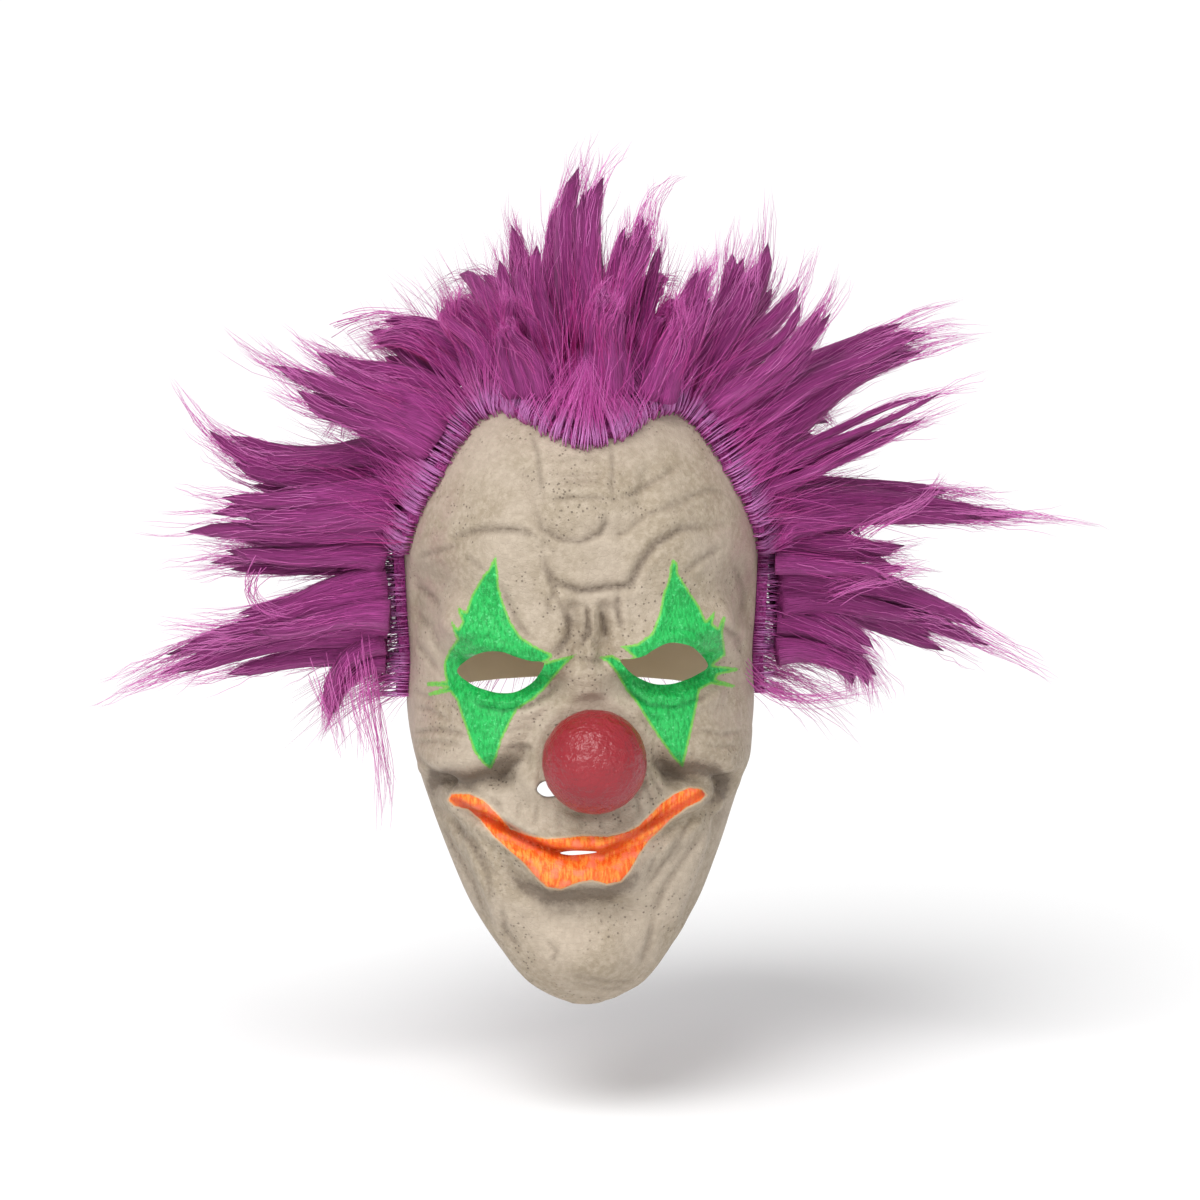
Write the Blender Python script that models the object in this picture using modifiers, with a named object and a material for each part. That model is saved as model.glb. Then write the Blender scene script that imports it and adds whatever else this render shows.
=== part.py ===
"""Clown mask: a moulded latex face with a half hood, a ball nose and a wig of long-pile fur.

Units are metres. +Z is up, the face looks along -Y and +X is to the right of someone facing it.
The origin is where the top of the wearer's head meets the inside of the crown.
"""

import math

import bmesh
import bpy
from mathutils import Vector

# Driving dimensions
MASK_WIDTH = 0.171          # latex, across its widest place above the ears
MASK_HEIGHT = 0.305         # latex, from the crown down to the chin
CROWN_DROP = 0.092          # from the crown down to the widest level
FACE_DEPTH = 0.094          # from the crown's axis forward to the forehead
HEAD_BACK = 0.097           # from the crown's axis back to the back of the hood
LATEX_WALL = 0.002
EAR_LEVEL = 0.172           # how far below the crown the hood ends at its sides and back
SECTION_POWER = 0.9         # 1 gives elliptical sections, less gives squarer ones

NOSE_DIAMETER = 0.050
NOSE_WALL = 0.0025
NOSE_ACROSS = 0.0015        # the sculpted nose leans a little to one side
NOSE_DOWN = 0.178           # ball's centre, below the crown
NOSE_SEAT_FORWARD = 0.0905  # flat end of the face's own nose, from the crown's axis
NOSE_SEAT_SET_BACK = 0.014  # ball's centre to its cut-off back

MOUTH_SLIT_LENGTH = 0.018
MOUTH_SLIT_HEIGHT = 0.002
NOSTRIL_WIDTH = 0.009
NOSTRIL_HEIGHT = 0.006

FUR_DEPTH = 0.019           # matted pile over the hood, without its tufts
FUR_RIM_DEPTH = 0.009       # the same where the pile rolls over at the hairline
FUR_DROP = 0.163            # how far below the crown the fur ends at its sides and back
FUR_SIDE_FORWARD = 0.014    # how far forward of the crown's axis its front edge runs down the sides
HAIR_REACH = 0.250          # from the crown's axis to the tip of the longest tuft
TUFT_THICKNESS = 0.046      # across the thickest tuft near its root
TUFT_TIP_SHARE = 0.06       # of that, left at its tip

BARE_RIM = 0.007            # flat latex kept along the hairline, for the glue
GLUE_GAP = 0.0003           # between pieces glued face to face
CUT_LENGTH = 0.090          # how deep a cutter for an eye or the mouth reaches

# How finely the shapes are divided
FRONT_COLUMNS = 32
BACK_COLUMNS = 11
DOME_ROWS = 9
CHEEK_ROWS = 10
JAW_ROWS = 14
TUFT_RINGS = 5

HALF_WIDTH = MASK_WIDTH / 2
NOSE_RADIUS = NOSE_DIAMETER / 2
NOSE_SEAT_RADIUS = math.sqrt(NOSE_RADIUS ** 2 - NOSE_SEAT_SET_BACK ** 2)
CROWN_Z = LATEX_WALL

# Level sections of the latex below its widest level. down is a share of the way from there to the chin,
# half_width a share of the mask's own, front and edge shares of the face's depth, and back a share of
# the hood's. edge is how far forward of the crown's axis the section is widest.
SECTIONS = [
    # down, half_width, front, edge, back
    (0.00, 1.000, 0.990, 0.00, 1.00),
    (0.14, 0.985, 1.000, 0.00, 0.98),
    (0.24, 0.970, 0.925, 0.00, 0.95),
    (0.36, 0.980, 0.930, 0.00, 0.88),
    (0.46, 0.945, 0.930, 0.05, 0.82),
    (0.57, 0.860, 0.935, 0.13, 0.80),
    (0.69, 0.745, 0.935, 0.26, 0.80),
    (0.79, 0.630, 0.880, 0.38, 0.80),
    (0.88, 0.475, 0.840, 0.50, 0.80),
    (0.945, 0.335, 0.760, 0.57, 0.80),
    (0.980, 0.200, 0.690, 0.59, 0.80),
    (1.000, 0.085, 0.640, 0.59, 0.80),
]

# Moulded forms, each a soft ridge (rise above 0) or crease (below 0) from one end to the other. across,
# width and rise are shares of the half width, down of the mask's height. A paired form is on both sides.
FORMS = [
    # name, paired, across, down, across_end, down_end, width, rise
    ("forehead_lump", False, 0.00, 0.185, 0.00, 0.215, 0.17, 0.040),
    ("forehead_side", True, 0.42, 0.230, 0.52, 0.285, 0.17, 0.045),
    ("forehead_crease", False, -0.19, 0.232, 0.17, 0.232, 0.05, -0.035),
    ("forehead_upright", True, 0.33, 0.150, 0.26, 0.215, 0.05, -0.025),
    ("temple_hollow", True, 0.86, 0.330, 0.88, 0.380, 0.13, -0.050),
    ("frown_crease", True, 0.085, 0.350, 0.075, 0.425, 0.045, -0.050),
    ("frown_pad", False, 0.00, 0.360, 0.00, 0.415, 0.05, 0.035),
    ("brow_ridge", True, 0.24, 0.425, 0.72, 0.385, 0.11, 0.095),
    ("eye_socket", True, 0.35, 0.468, 0.62, 0.460, 0.14, -0.110),
    ("upper_lid", True, 0.24, 0.448, 0.70, 0.428, 0.055, 0.050),
    ("eye_bag", True, 0.28, 0.506, 0.68, 0.500, 0.075, 0.065),
    ("nose_bridge", False, 0.00, 0.455, 0.00, 0.550, 0.13, 0.100),
    ("nose_wing", True, 0.22, 0.610, 0.26, 0.628, 0.10, 0.090),
    ("cheek_ball", True, 0.52, 0.570, 0.68, 0.610, 0.20, 0.110),
    ("smile_fold_upper", True, 0.33, 0.590, 0.47, 0.625, 0.06, -0.065),
    ("smile_fold_lower", True, 0.47, 0.625, 0.80, 0.650, 0.06, -0.080),
    ("smile_fold_end", True, 0.80, 0.650, 0.79, 0.700, 0.06, -0.050),
    ("smile_corner_pad", True, 0.73, 0.665, 0.72, 0.680, 0.06, 0.045),
    ("muzzle", False, -0.22, 0.695, 0.22, 0.695, 0.17, 0.075),
    ("upper_lip", True, 0.05, 0.728, 0.60, 0.668, 0.06, 0.045),
    ("mouth_line", True, 0.05, 0.748, 0.64, 0.682, 0.04, -0.045),
    ("lower_lip", False, -0.20, 0.785, 0.20, 0.785, 0.09, 0.070),
    ("lower_lip_side", True, 0.22, 0.770, 0.58, 0.705, 0.05, 0.035),
    ("under_lip", False, -0.18, 0.835, 0.18, 0.835, 0.09, -0.065),
    ("chin_ball", False, -0.05, 0.905, 0.05, 0.905, 0.21, 0.090),
    ("jaw_fold", True, 0.62, 0.745, 0.46, 0.850, 0.09, 0.035),
    ("jaw_crease", True, 0.74, 0.720, 0.56, 0.860, 0.05, -0.030),
]

# Eye holes. across and the four lengths are shares of the half width, down of the mask's height.
EYES = [
    # name, across, down, half_length, above, below, outer_drop
    ("left", -0.493, 0.464, 0.241, 0.100, 0.135, 0.045),
    ("right", 0.425, 0.454, 0.250, 0.120, 0.115, 0.020),
]

# Nostrils. size is a share of the nostril's width and height.
NOSTRILS = [
    # name, across, down, size
    ("left", -0.234, 0.646, 1.00),
    ("right", 0.200, 0.655, 0.80),
]

MOUTH_ACROSS = -0.060       # share of the half width
MOUTH_DOWN = 0.747          # share of the mask's height

# The fur's front edge in front view. across is a share of the half width, down of the mask's height below
# the crown.
HAIRLINE = [
    # across, down
    (0.00, 0.115),
    (0.14, 0.108),
    (0.26, 0.094),
    (0.38, 0.077),
    (0.49, 0.074),
    (0.59, 0.092),
    (0.69, 0.126),
    (0.82, 0.187),
    (0.92, 0.245),
    (0.98, 0.308),
]

# Tufts. The root is on the hood at root_turn degrees round the front view from the crown, clockwise,
# and root_depth (a share of the face's depth, forward above 0). The tip and the bend are shares of the
# hair's reach from the middle of the hood's widest level, thickness is a share of the thickest tuft's.
TUFTS = [
    # name, root_turn, root_depth, tip_x, tip_depth, tip_z, bend_x, bend_z, thickness
    ("front_left", -16, 0.45, -0.15, 0.30, 0.52, -0.02, 0.03, 0.75),
    ("front_middle", 3, 0.50, 0.04, 0.32, 0.56, -0.02, 0.03, 0.80),
    ("front_right", 20, 0.42, 0.17, 0.28, 0.52, 0.02, 0.03, 0.75),
    ("top_fan_left", -12, 0.15, -0.13, 0.05, 0.68, -0.02, 0.00, 0.75),
    ("top_fan", -2, 0.00, 0.02, -0.05, 0.80, -0.04, 0.00, 1.00),
    ("top_fan_right", 10, 0.10, 0.13, 0.00, 0.69, 0.03, 0.00, 0.80),
    ("top_right_low", 24, 0.20, 0.25, 0.08, 0.60, 0.02, -0.02, 0.75),
    ("top_right_horn", 34, 0.00, 0.37, -0.05, 0.66, 0.04, -0.06, 1.00),
    ("top_right_side", 46, 0.22, 0.48, 0.10, 0.55, 0.05, -0.05, 0.80),
    ("right_high", 56, 0.05, 0.78, 0.00, 0.42, -0.04, 0.06, 1.00),
    ("right_high_wisp", 68, 0.20, 0.77, 0.12, 0.33, 0.00, 0.03, 0.80),
    ("right_long", 82, 0.00, 1.00, 0.00, 0.02, -0.05, 0.04, 1.00),
    ("right_long_under", 94, 0.12, 0.68, 0.05, -0.05, 0.00, 0.00, 0.85),
    ("right_low", 106, -0.10, 0.91, -0.05, -0.28, -0.02, 0.07, 1.00),
    ("right_low_under", 122, 0.02, 0.58, 0.00, -0.32, 0.04, 0.02, 0.85),
    ("top_left_low", -24, 0.15, -0.27, 0.05, 0.50, -0.03, 0.00, 0.80),
    ("top_left_side", -38, 0.00, -0.44, 0.00, 0.40, 0.00, 0.03, 0.90),
    ("left_high", -50, 0.20, -0.67, 0.10, 0.44, 0.03, -0.10, 1.00),
    ("left_horn", -68, 0.00, -0.78, 0.00, 0.31, -0.05, -0.16, 1.00),
    ("left_wide", -82, 0.15, -0.86, 0.05, 0.06, 0.02, -0.04, 0.95),
    ("left_wide_under", -92, -0.10, -0.80, -0.05, -0.05, 0.02, 0.02, 0.85),
    ("left_low_upper", -106, 0.10, -0.81, 0.05, -0.15, 0.05, -0.03, 0.90),
    ("left_low", -118, -0.05, -0.92, 0.00, -0.31, 0.02, 0.05, 1.00),
    ("left_low_under", -126, 0.02, -0.50, 0.00, -0.36, 0.00, -0.02, 0.80),
]

# Plain tufts over the back, a row for each level. down is in degrees from the crown, count is how many
# tufts it has, middle and swing are where they are centred and how far round the head they reach, and
# length is a share of the hair's reach.
BACK_ROWS = [
    # down, count, middle, swing, length
    (30, 3, 184, 74, 0.30),
    (62, 5, 175, 132, 0.27),
    (88, 6, 182, 154, 0.24),
]


def clear_scene():
    """Removes what is in the open file, so that the model is built into an empty scene."""
    for found in list(bpy.data.objects):
        bpy.data.objects.remove(found, do_unlink=True)


def new_collection(name):
    """A collection of the given name in the scene."""
    made = bpy.data.collections.new(name)
    bpy.context.scene.collection.children.link(made)
    return made


def smooth_step(value):
    """0 below 0 and 1 above 1, with a smooth rise between."""
    value = min(max(value, 0.0), 1.0)
    return value * value * (3 - 2 * value)


def smooth_table(rows, where, column):
    """A column of a table, read along its first column by a cubic through the rows."""
    where = min(max(where, rows[0][0]), rows[-1][0])
    after = 1
    while rows[after][0] < where:
        after += 1
    low = rows[after - 1]
    high = rows[after]
    before = rows[max(after - 2, 0)]
    beyond = rows[min(after + 1, len(rows) - 1)]
    span = high[0] - low[0]
    slope_low = (high[column] - before[column]) / (high[0] - before[0])
    slope_high = (beyond[column] - low[column]) / (beyond[0] - low[0])
    t = (where - low[0]) / span
    start = (2 * t ** 3 - 3 * t ** 2 + 1) * low[column] + (t ** 3 - 2 * t ** 2 + t) * span * slope_low
    finish = (3 * t ** 2 - 2 * t ** 3) * high[column] + (t ** 3 - t ** 2) * span * slope_high
    return start + finish


def section(level):
    """Half width, front, edge and back of the section at a level, and its height.

    The level runs from 0 at the crown to 1 where the head is widest, and on to 2 at the chin.
    """
    if level <= 1:
        size = math.sin(level * math.pi / 2)
        height = CROWN_Z - CROWN_DROP * (1 - math.cos(level * math.pi / 2))
        return HALF_WIDTH * size, SECTIONS[0][2] * FACE_DEPTH * size, 0.0, HEAD_BACK * size, height
    down = level - 1
    half_width = HALF_WIDTH * smooth_table(SECTIONS, down, 1)
    front = FACE_DEPTH * smooth_table(SECTIONS, down, 2)
    edge = FACE_DEPTH * smooth_table(SECTIONS, down, 3)
    back = HEAD_BACK * smooth_table(SECTIONS, down, 4)
    height = CROWN_Z - CROWN_DROP - (MASK_HEIGHT - CROWN_DROP) * down
    return half_width, front, edge, back, height


def level_of(depth_below_crown):
    """The level at a depth below the crown."""
    if depth_below_crown <= CROWN_DROP:
        return math.acos(1 - depth_below_crown / CROWN_DROP) * 2 / math.pi
    return 1 + (depth_below_crown - CROWN_DROP) / (MASK_HEIGHT - CROWN_DROP)


def head_point(turn, level):
    """Outer face of the plain latex, at an angle round the head in degrees and a level."""
    half_width, front, edge, back, height = section(level)
    sine = math.sin(math.radians(turn))
    cosine = math.cos(math.radians(turn))
    across = math.copysign(abs(sine) ** SECTION_POWER, sine) * half_width
    reach = abs(cosine) ** SECTION_POWER
    if cosine > 0:
        return Vector((across, -(edge + (front - edge) * reach), height))
    return Vector((across, (back + edge) * reach - edge, height))


def head_normal(turn, level):
    """Outward direction of the plain latex."""
    turn_step = 0.5
    level_step = 0.005
    level = max(level, level_step * 2)
    along = head_point(turn + turn_step, level) - head_point(turn - turn_step, level)
    down = head_point(turn, min(level + level_step, 2)) - head_point(turn, level - level_step)
    return down.cross(along).normalized()


def form_rise(form, across, down):
    """How far one moulded form stands out at a place in front view."""
    _, paired, x0, z0, x1, z1, width, rise = form
    squash = MASK_HEIGHT / HALF_WIDTH
    here = Vector((abs(across) if paired else across, down * squash))
    start = Vector((x0, z0 * squash))
    run = Vector((x1, z1 * squash)) - start
    share = 0.0
    if run.length > 0:
        share = min(max((here - start).dot(run) / run.length_squared, 0), 1)
    distance = (here - start - run * share).length / width
    return rise * math.exp(-distance * distance)


def inside_fur(point):
    """How far a place lies behind the fur's front edge, or below 0 where it lies on the bare face."""
    across = abs(point.x) / HALF_WIDTH
    behind_side = point.y + FUR_SIDE_FORWARD
    if across > HAIRLINE[-1][0]:
        return behind_side
    above_line = point.z - (CROWN_Z - smooth_table(HAIRLINE, across, 1) * MASK_HEIGHT)
    return max(above_line, behind_side)


def relief(point, turn, level):
    """Height of the moulded forms over the plain latex, fading out under the fur and towards the edges."""
    across = point.x / HALF_WIDTH
    down = (CROWN_Z - point.z) / MASK_HEIGHT
    rise = sum(form_rise(form, across, down) for form in FORMS)
    to_side = smooth_step((88 - abs(turn)) / 14)
    to_fur = smooth_step((-inside_fur(point) - BARE_RIM) / FUR_RIM_DEPTH)
    to_chin = smooth_step((2 - level) / 0.06)
    return HALF_WIDTH * rise * to_side * to_fur * to_chin


def seat_nose(point):
    """Brings the end of the face's own nose flat, so that the ball has a seat."""
    centre_z = CROWN_Z - NOSE_DOWN
    distance = math.hypot(point.x - NOSE_ACROSS, point.z - centre_z)
    flat = smooth_step((NOSE_SEAT_RADIUS * 1.55 - distance) / (NOSE_SEAT_RADIUS * 0.28))
    seated = -NOSE_SEAT_FORWARD
    return Vector((point.x, point.y + (seated - point.y) * flat, point.z))


def face_point(turn, level):
    """Outer face of the moulded latex."""
    plain = head_point(turn, level)
    moulded = plain + head_normal(turn, level) * relief(plain, turn, level)
    if abs(turn) < 60:
        return seat_nose(moulded)
    return moulded


def front_turns():
    """Angles of the face's columns, closer together towards the middle of the face."""
    turns = []
    for column in range(FRONT_COLUMNS + 1):
        place = 2 * column / FRONT_COLUMNS - 1
        turns.append(90 * (0.6 * place + 0.4 * place ** 3))
    return turns


def back_turns():
    """Angles of the columns behind, between one ear and the other."""
    step = 180 / (BACK_COLUMNS + 1)
    return [90 + step * (column + 1) for column in range(BACK_COLUMNS)]


def upper_levels(lowest):
    """Levels of the closed rings, from the crown down to the given depth."""
    step = (level_of(EAR_LEVEL) - 1) / CHEEK_ROWS
    levels = [(row + 1) / DOME_ROWS for row in range(DOME_ROWS)]
    levels += [1 + step * (row + 1) for row in range(CHEEK_ROWS)]
    end = level_of(lowest)
    return [level for level in levels if level < end - step / 2] + [end]


def add_strip(mesh, upper, lower, closed):
    """Faces between two rows of points, outward when the rows run round the head from -90 degrees."""
    count = len(upper)
    for column in range(count if closed else count - 1):
        after = (column + 1) % count
        mesh.faces.new((upper[column], lower[column], lower[after], upper[after]))


def add_pole(mesh, pole, row):
    """Triangles that close a row onto one point."""
    for column, vertex in enumerate(row):
        mesh.faces.new((pole, vertex, row[(column + 1) % len(row)]))


def object_from_bmesh(mesh, name, collection):
    """An object that holds a bmesh, with its normals made to agree."""
    bmesh.ops.recalc_face_normals(mesh, faces=mesh.faces)
    data = bpy.data.meshes.new(name)
    mesh.to_mesh(data)
    mesh.free()
    data.shade_smooth()
    made = bpy.data.objects.new(name, data)
    collection.objects.link(made)
    return made


def colour_piece(piece, name, colour, roughness):
    """Gives a piece its own Principled material."""
    material = bpy.data.materials.new(name)
    material.use_nodes = True
    shader = material.node_tree.nodes["Principled BSDF"]
    shader.inputs["Base Color"].default_value = (*colour, 1.0)
    shader.inputs["Roughness"].default_value = roughness
    shader.inputs["Metallic"].default_value = 0.0
    material.diffuse_color = (*colour, 1.0)
    piece.data.materials.append(material)


def make_cutter(made, cutters):
    """Hides a solid that only cuts others."""
    for holder in list(made.users_collection):
        holder.objects.unlink(made)
    cutters.objects.link(made)
    made.hide_render = True
    made.display_type = "WIRE"


def lens_cutter(name, centre, half_length, above, below, outer_drop, cutters):
    """A solid with an eye-shaped outline that cuts along Y. The end away from the nose drops."""
    outline = bpy.data.curves.new(name, "CURVE")
    outline.dimensions = "2D"
    outline.fill_mode = "BOTH"
    outline.extrude = CUT_LENGTH / 2
    steps = 9
    points = []
    for step in range(steps):
        place = step / steps * 2 - 1
        points.append((place, above * (1 - place * place) ** 0.8))
    for step in range(steps):
        place = 1 - step / steps * 2
        points.append((place, -below * (1 - place * place) ** 0.8))
    spline = outline.splines.new("POLY")
    spline.points.add(len(points) - 1)
    side = math.copysign(1, centre.x)
    for target, (place, height) in zip(spline.points, points):
        target.co = (place * half_length, height - place * side * outer_drop / 2, 0, 1)
    spline.use_cyclic_u = True
    holder = bpy.data.objects.new(name, outline)
    bpy.context.scene.collection.objects.link(holder)
    holder.location = centre
    holder.rotation_euler = (math.pi / 2, 0, 0)
    return mesh_from_curve(holder, name, cutters)


def slot_cutter(name, centre, length, height, cutters):
    """The same with a level outline of a given length and height."""
    return lens_cutter(name, centre, length / 2, height / 2, height / 2, 0, cutters)


def mesh_from_curve(holder, name, cutters):
    """Turns a curve into a closed cutter and removes the curve."""
    bpy.context.view_layer.update()
    evaluated = holder.evaluated_get(bpy.context.evaluated_depsgraph_get())
    data = bpy.data.meshes.new_from_object(evaluated)
    data.name = name
    mesh = bmesh.new()
    mesh.from_mesh(data)
    bmesh.ops.remove_doubles(mesh, verts=mesh.verts, dist=0.00002)
    bmesh.ops.recalc_face_normals(mesh, faces=mesh.faces)
    mesh.to_mesh(data)
    mesh.free()
    made = bpy.data.objects.new(name + "_solid", data)
    made.matrix_world = holder.matrix_world.copy()
    bpy.context.scene.collection.objects.link(made)
    bpy.data.objects.remove(holder, do_unlink=True)
    make_cutter(made, cutters)
    return made


def cut_with(piece, cutter):
    """Cuts a cutter out of a piece."""
    modifier = piece.modifiers.new(cutter.name, "BOOLEAN")
    modifier.operation = "DIFFERENCE"
    modifier.solver = "EXACT"
    modifier.object = cutter


def make_latex_surface(parts):
    """The latex's outer face: closed rings down to ear level, then open ones down to the chin."""
    turns = front_turns()
    ring = turns + back_turns()
    ear = level_of(EAR_LEVEL)
    lower_levels = [ear + (2 - ear) * (row + 1) / JAW_ROWS for row in range(JAW_ROWS)]
    mesh = bmesh.new()
    pole = mesh.verts.new((0, 0, CROWN_Z))
    row = []
    for level in upper_levels(EAR_LEVEL):
        below = [mesh.verts.new(face_point(turn, level)) for turn in ring]
        if row:
            add_strip(mesh, row, below, True)
        else:
            add_pole(mesh, pole, below)
        row = below
    row = row[:len(turns)]
    for level in lower_levels:
        below = [mesh.verts.new(face_point(turn, level)) for turn in turns]
        add_strip(mesh, row, below, False)
        row = below
    return object_from_bmesh(mesh, "latex_face", parts)


def place_on_face(across, down):
    """A point in front of the face, from shares of the half width and of the mask's height."""
    return Vector((across * HALF_WIDTH, -FACE_DEPTH, CROWN_Z - down * MASK_HEIGHT))


def make_latex_face(parts, cutters):
    """The moulded latex mask with its wall, eye holes, mouth slit and nostrils."""
    piece = make_latex_surface(parts)
    wall = piece.modifiers.new("wall", "SOLIDIFY")
    wall.thickness = LATEX_WALL
    wall.offset = -1
    for name, across, down, half_length, above, below, drop in EYES:
        centre = place_on_face(across, down)
        sizes = [value * HALF_WIDTH for value in (half_length, above, below, drop)]
        cut_with(piece, lens_cutter("eye_hole_" + name, centre, *sizes, cutters))
    slit = place_on_face(MOUTH_ACROSS, MOUTH_DOWN)
    cut_with(piece, slot_cutter("mouth_slit", slit, MOUTH_SLIT_LENGTH, MOUTH_SLIT_HEIGHT, cutters))
    for name, across, down, size in NOSTRILS:
        centre = place_on_face(across, down)
        width = NOSTRIL_WIDTH * size
        height = NOSTRIL_HEIGHT * size
        cut_with(piece, slot_cutter("nostril_" + name, centre, width, height, cutters))
    colour_piece(piece, "latex_grey_beige", (0.45, 0.37, 0.30), 0.6)
    return piece


def make_nose_ball(parts):
    """The hollow ball nose, cut off flat where it is glued on."""
    seat_y = -NOSE_SEAT_FORWARD - GLUE_GAP
    centre = Vector((NOSE_ACROSS, seat_y - NOSE_SEAT_SET_BACK, CROWN_Z - NOSE_DOWN))
    mesh = bmesh.new()
    bmesh.ops.create_uvsphere(mesh, u_segments=20, v_segments=12, radius=NOSE_RADIUS)
    everything = mesh.verts[:] + mesh.edges[:] + mesh.faces[:]
    bmesh.ops.bisect_plane(
        mesh, geom=everything, plane_co=(0, NOSE_SEAT_SET_BACK, 0), plane_no=(0, 1, 0), clear_outer=True,
        dist=0.00001)
    piece = object_from_bmesh(mesh, "nose_ball", parts)
    piece.location = centre
    wall = piece.modifiers.new("wall", "SOLIDIFY")
    wall.thickness = NOSE_WALL
    wall.offset = -1
    colour_piece(piece, "painted_latex_red", (0.34, 0.03, 0.04), 0.3)
    return piece


def face_opening(cutters):
    """A solid that cuts the fur back to the hairline, and down both sides to its front edge there."""
    outline = bpy.data.curves.new("face_opening", "CURVE")
    outline.dimensions = "2D"
    outline.fill_mode = "BOTH"
    outline.extrude = FACE_DEPTH
    half = [(across * HALF_WIDTH, -down * MASK_HEIGHT) for across, down in HAIRLINE]
    half.append((MASK_WIDTH, half[-1][1] - FUR_DEPTH))
    half.append((MASK_WIDTH, -MASK_HEIGHT))
    points = half + [(-across, height) for across, height in reversed(half[1:])]
    spline = outline.splines.new("POLY")
    spline.points.add(len(points) - 1)
    for target, (across, height) in zip(spline.points, points):
        target.co = (across, height, 0, 1)
    spline.use_cyclic_u = True
    holder = bpy.data.objects.new("face_opening", outline)
    bpy.context.scene.collection.objects.link(holder)
    holder.location = (0, -FUR_SIDE_FORWARD - FACE_DEPTH, CROWN_Z)
    holder.rotation_euler = (math.pi / 2, 0, 0)
    return mesh_from_curve(holder, "face_opening", cutters)


def make_fur_backing(parts, cutters):
    """The matted pile over the hood, thinner where it rolls over at the hairline."""
    ring = front_turns() + back_turns()
    mesh = bmesh.new()
    layer = mesh.verts.layers.deform.verify()
    pole = mesh.verts.new(head_point(0, 0) + Vector((0, 0, GLUE_GAP)))
    pole[layer][0] = 1.0
    row = []
    for level in upper_levels(FUR_DROP):
        below = []
        for turn in ring:
            point = head_point(turn, level) + head_normal(turn, level) * GLUE_GAP
            vertex = mesh.verts.new(point)
            to_edge = min(inside_fur(point), point.z - (CROWN_Z - FUR_DROP))
            vertex[layer][0] = smooth_step(to_edge / FUR_DEPTH)
            below.append(vertex)
        if row:
            add_strip(mesh, row, below, True)
        else:
            add_pole(mesh, pole, below)
        row = below
    piece = object_from_bmesh(mesh, "fur_wig", parts)
    piece.vertex_groups.new(name="pile")
    wall = piece.modifiers.new("pile", "SOLIDIFY")
    wall.thickness = FUR_DEPTH
    wall.offset = 1
    wall.vertex_group = "pile"
    wall.thickness_vertex_group = FUR_RIM_DEPTH / FUR_DEPTH
    cut_with(piece, face_opening(cutters))
    return piece


def hood_root(turn, depth):
    """A point and direction on the hood, from an angle in front view and a share of the face's depth."""
    forward = depth * FACE_DEPTH
    limit = SECTIONS[0][2] * FACE_DEPTH if forward > 0 else HEAD_BACK
    size = math.sqrt(1 - (forward / limit) ** 2)
    sine = math.sin(math.radians(turn))
    cosine = math.cos(math.radians(turn))
    middle = CROWN_Z - CROWN_DROP
    height = CROWN_DROP if cosine > 0 else HALF_WIDTH * 0.95
    point = Vector((HALF_WIDTH * sine * size, -forward, middle + height * cosine * size))
    if cosine < 0:
        point.x = math.copysign(HALF_WIDTH, sine) * size
        cosine = 0
    normal = Vector((sine / HALF_WIDTH, -forward / limit ** 2, cosine / height))
    return point, normal.normalized()


def tuft(name, root, out, tip, bend, thickness, cutters):
    """A tapered tuft from its root in the pile to its tip, as a bent curve with a round section."""
    start = root + out * FUR_RIM_DEPTH
    shoulder = root + out * (FUR_DEPTH + thickness * 0.3)
    middle = (shoulder + tip) / 2 + bend
    path = bpy.data.curves.new(name, "CURVE")
    path.dimensions = "3D"
    path.bevel_depth = thickness / 2
    path.bevel_resolution = 1
    path.use_fill_caps = True
    spline = path.splines.new("POLY")
    spline.points.add(TUFT_RINGS)
    for ring, target in enumerate(spline.points):
        place = ring / TUFT_RINGS
        late = 1 - place
        near_root = start * late ** 3 + 3 * shoulder * late ** 2 * place
        near_tip = 3 * middle * late * place ** 2 + tip * place ** 3
        target.co = (*(near_root + near_tip), 1)
        target.radius = TUFT_TIP_SHARE + late ** 0.9 * (0.62 + 0.55 * math.sqrt(place))
    holder = bpy.data.objects.new(name, path)
    bpy.context.scene.collection.objects.link(holder)
    return mesh_from_curve(holder, name, cutters)


def side_tufts(cutters):
    """The tufts that stand out round the face, one for each row of the table."""
    middle = Vector((0, 0, CROWN_Z - CROWN_DROP))
    for name, turn, depth, tip_x, tip_depth, tip_z, bend_x, bend_z, thick in TUFTS:
        root, out = hood_root(turn, depth)
        tip = middle + HAIR_REACH * Vector((tip_x, -tip_depth, tip_z))
        bend = HAIR_REACH * Vector((bend_x, 0, bend_z))
        tuft(name, root, out, tip, bend, TUFT_THICKNESS * thick, cutters)


def back_tufts(cutters):
    """Plain tufts over the back of the hood, which hang a little."""
    for number, (down, count, middle, swing, length) in enumerate(BACK_ROWS):
        for place in range(count):
            turn = middle + swing * (place / (count - 1) - 0.5)
            level = down / 90
            root = head_point(turn, level)
            out = head_normal(turn, level)
            tip = root + HAIR_REACH * length * (out + Vector((0, 0, -0.45)))
            bend = HAIR_REACH * Vector((0, 0, 0.04))
            name = "back_" + str(number) + "_" + str(place)
            tuft(name, root, out, tip, bend, TUFT_THICKNESS, cutters)


def make_fur_wig(parts, cutters):
    """The fur: the matted pile with all its tufts made one with it."""
    piece = make_fur_backing(parts, cutters)
    tufts = new_collection("wig_tufts")
    side_tufts(tufts)
    back_tufts(tufts)
    fuse = piece.modifiers.new("tufts", "BOOLEAN")
    fuse.operation = "UNION"
    fuse.solver = "EXACT"
    fuse.operand_type = "COLLECTION"
    fuse.collection = tufts
    colour_piece(piece, "fur_magenta", (0.38, 0.05, 0.27), 0.5)
    return piece


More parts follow.
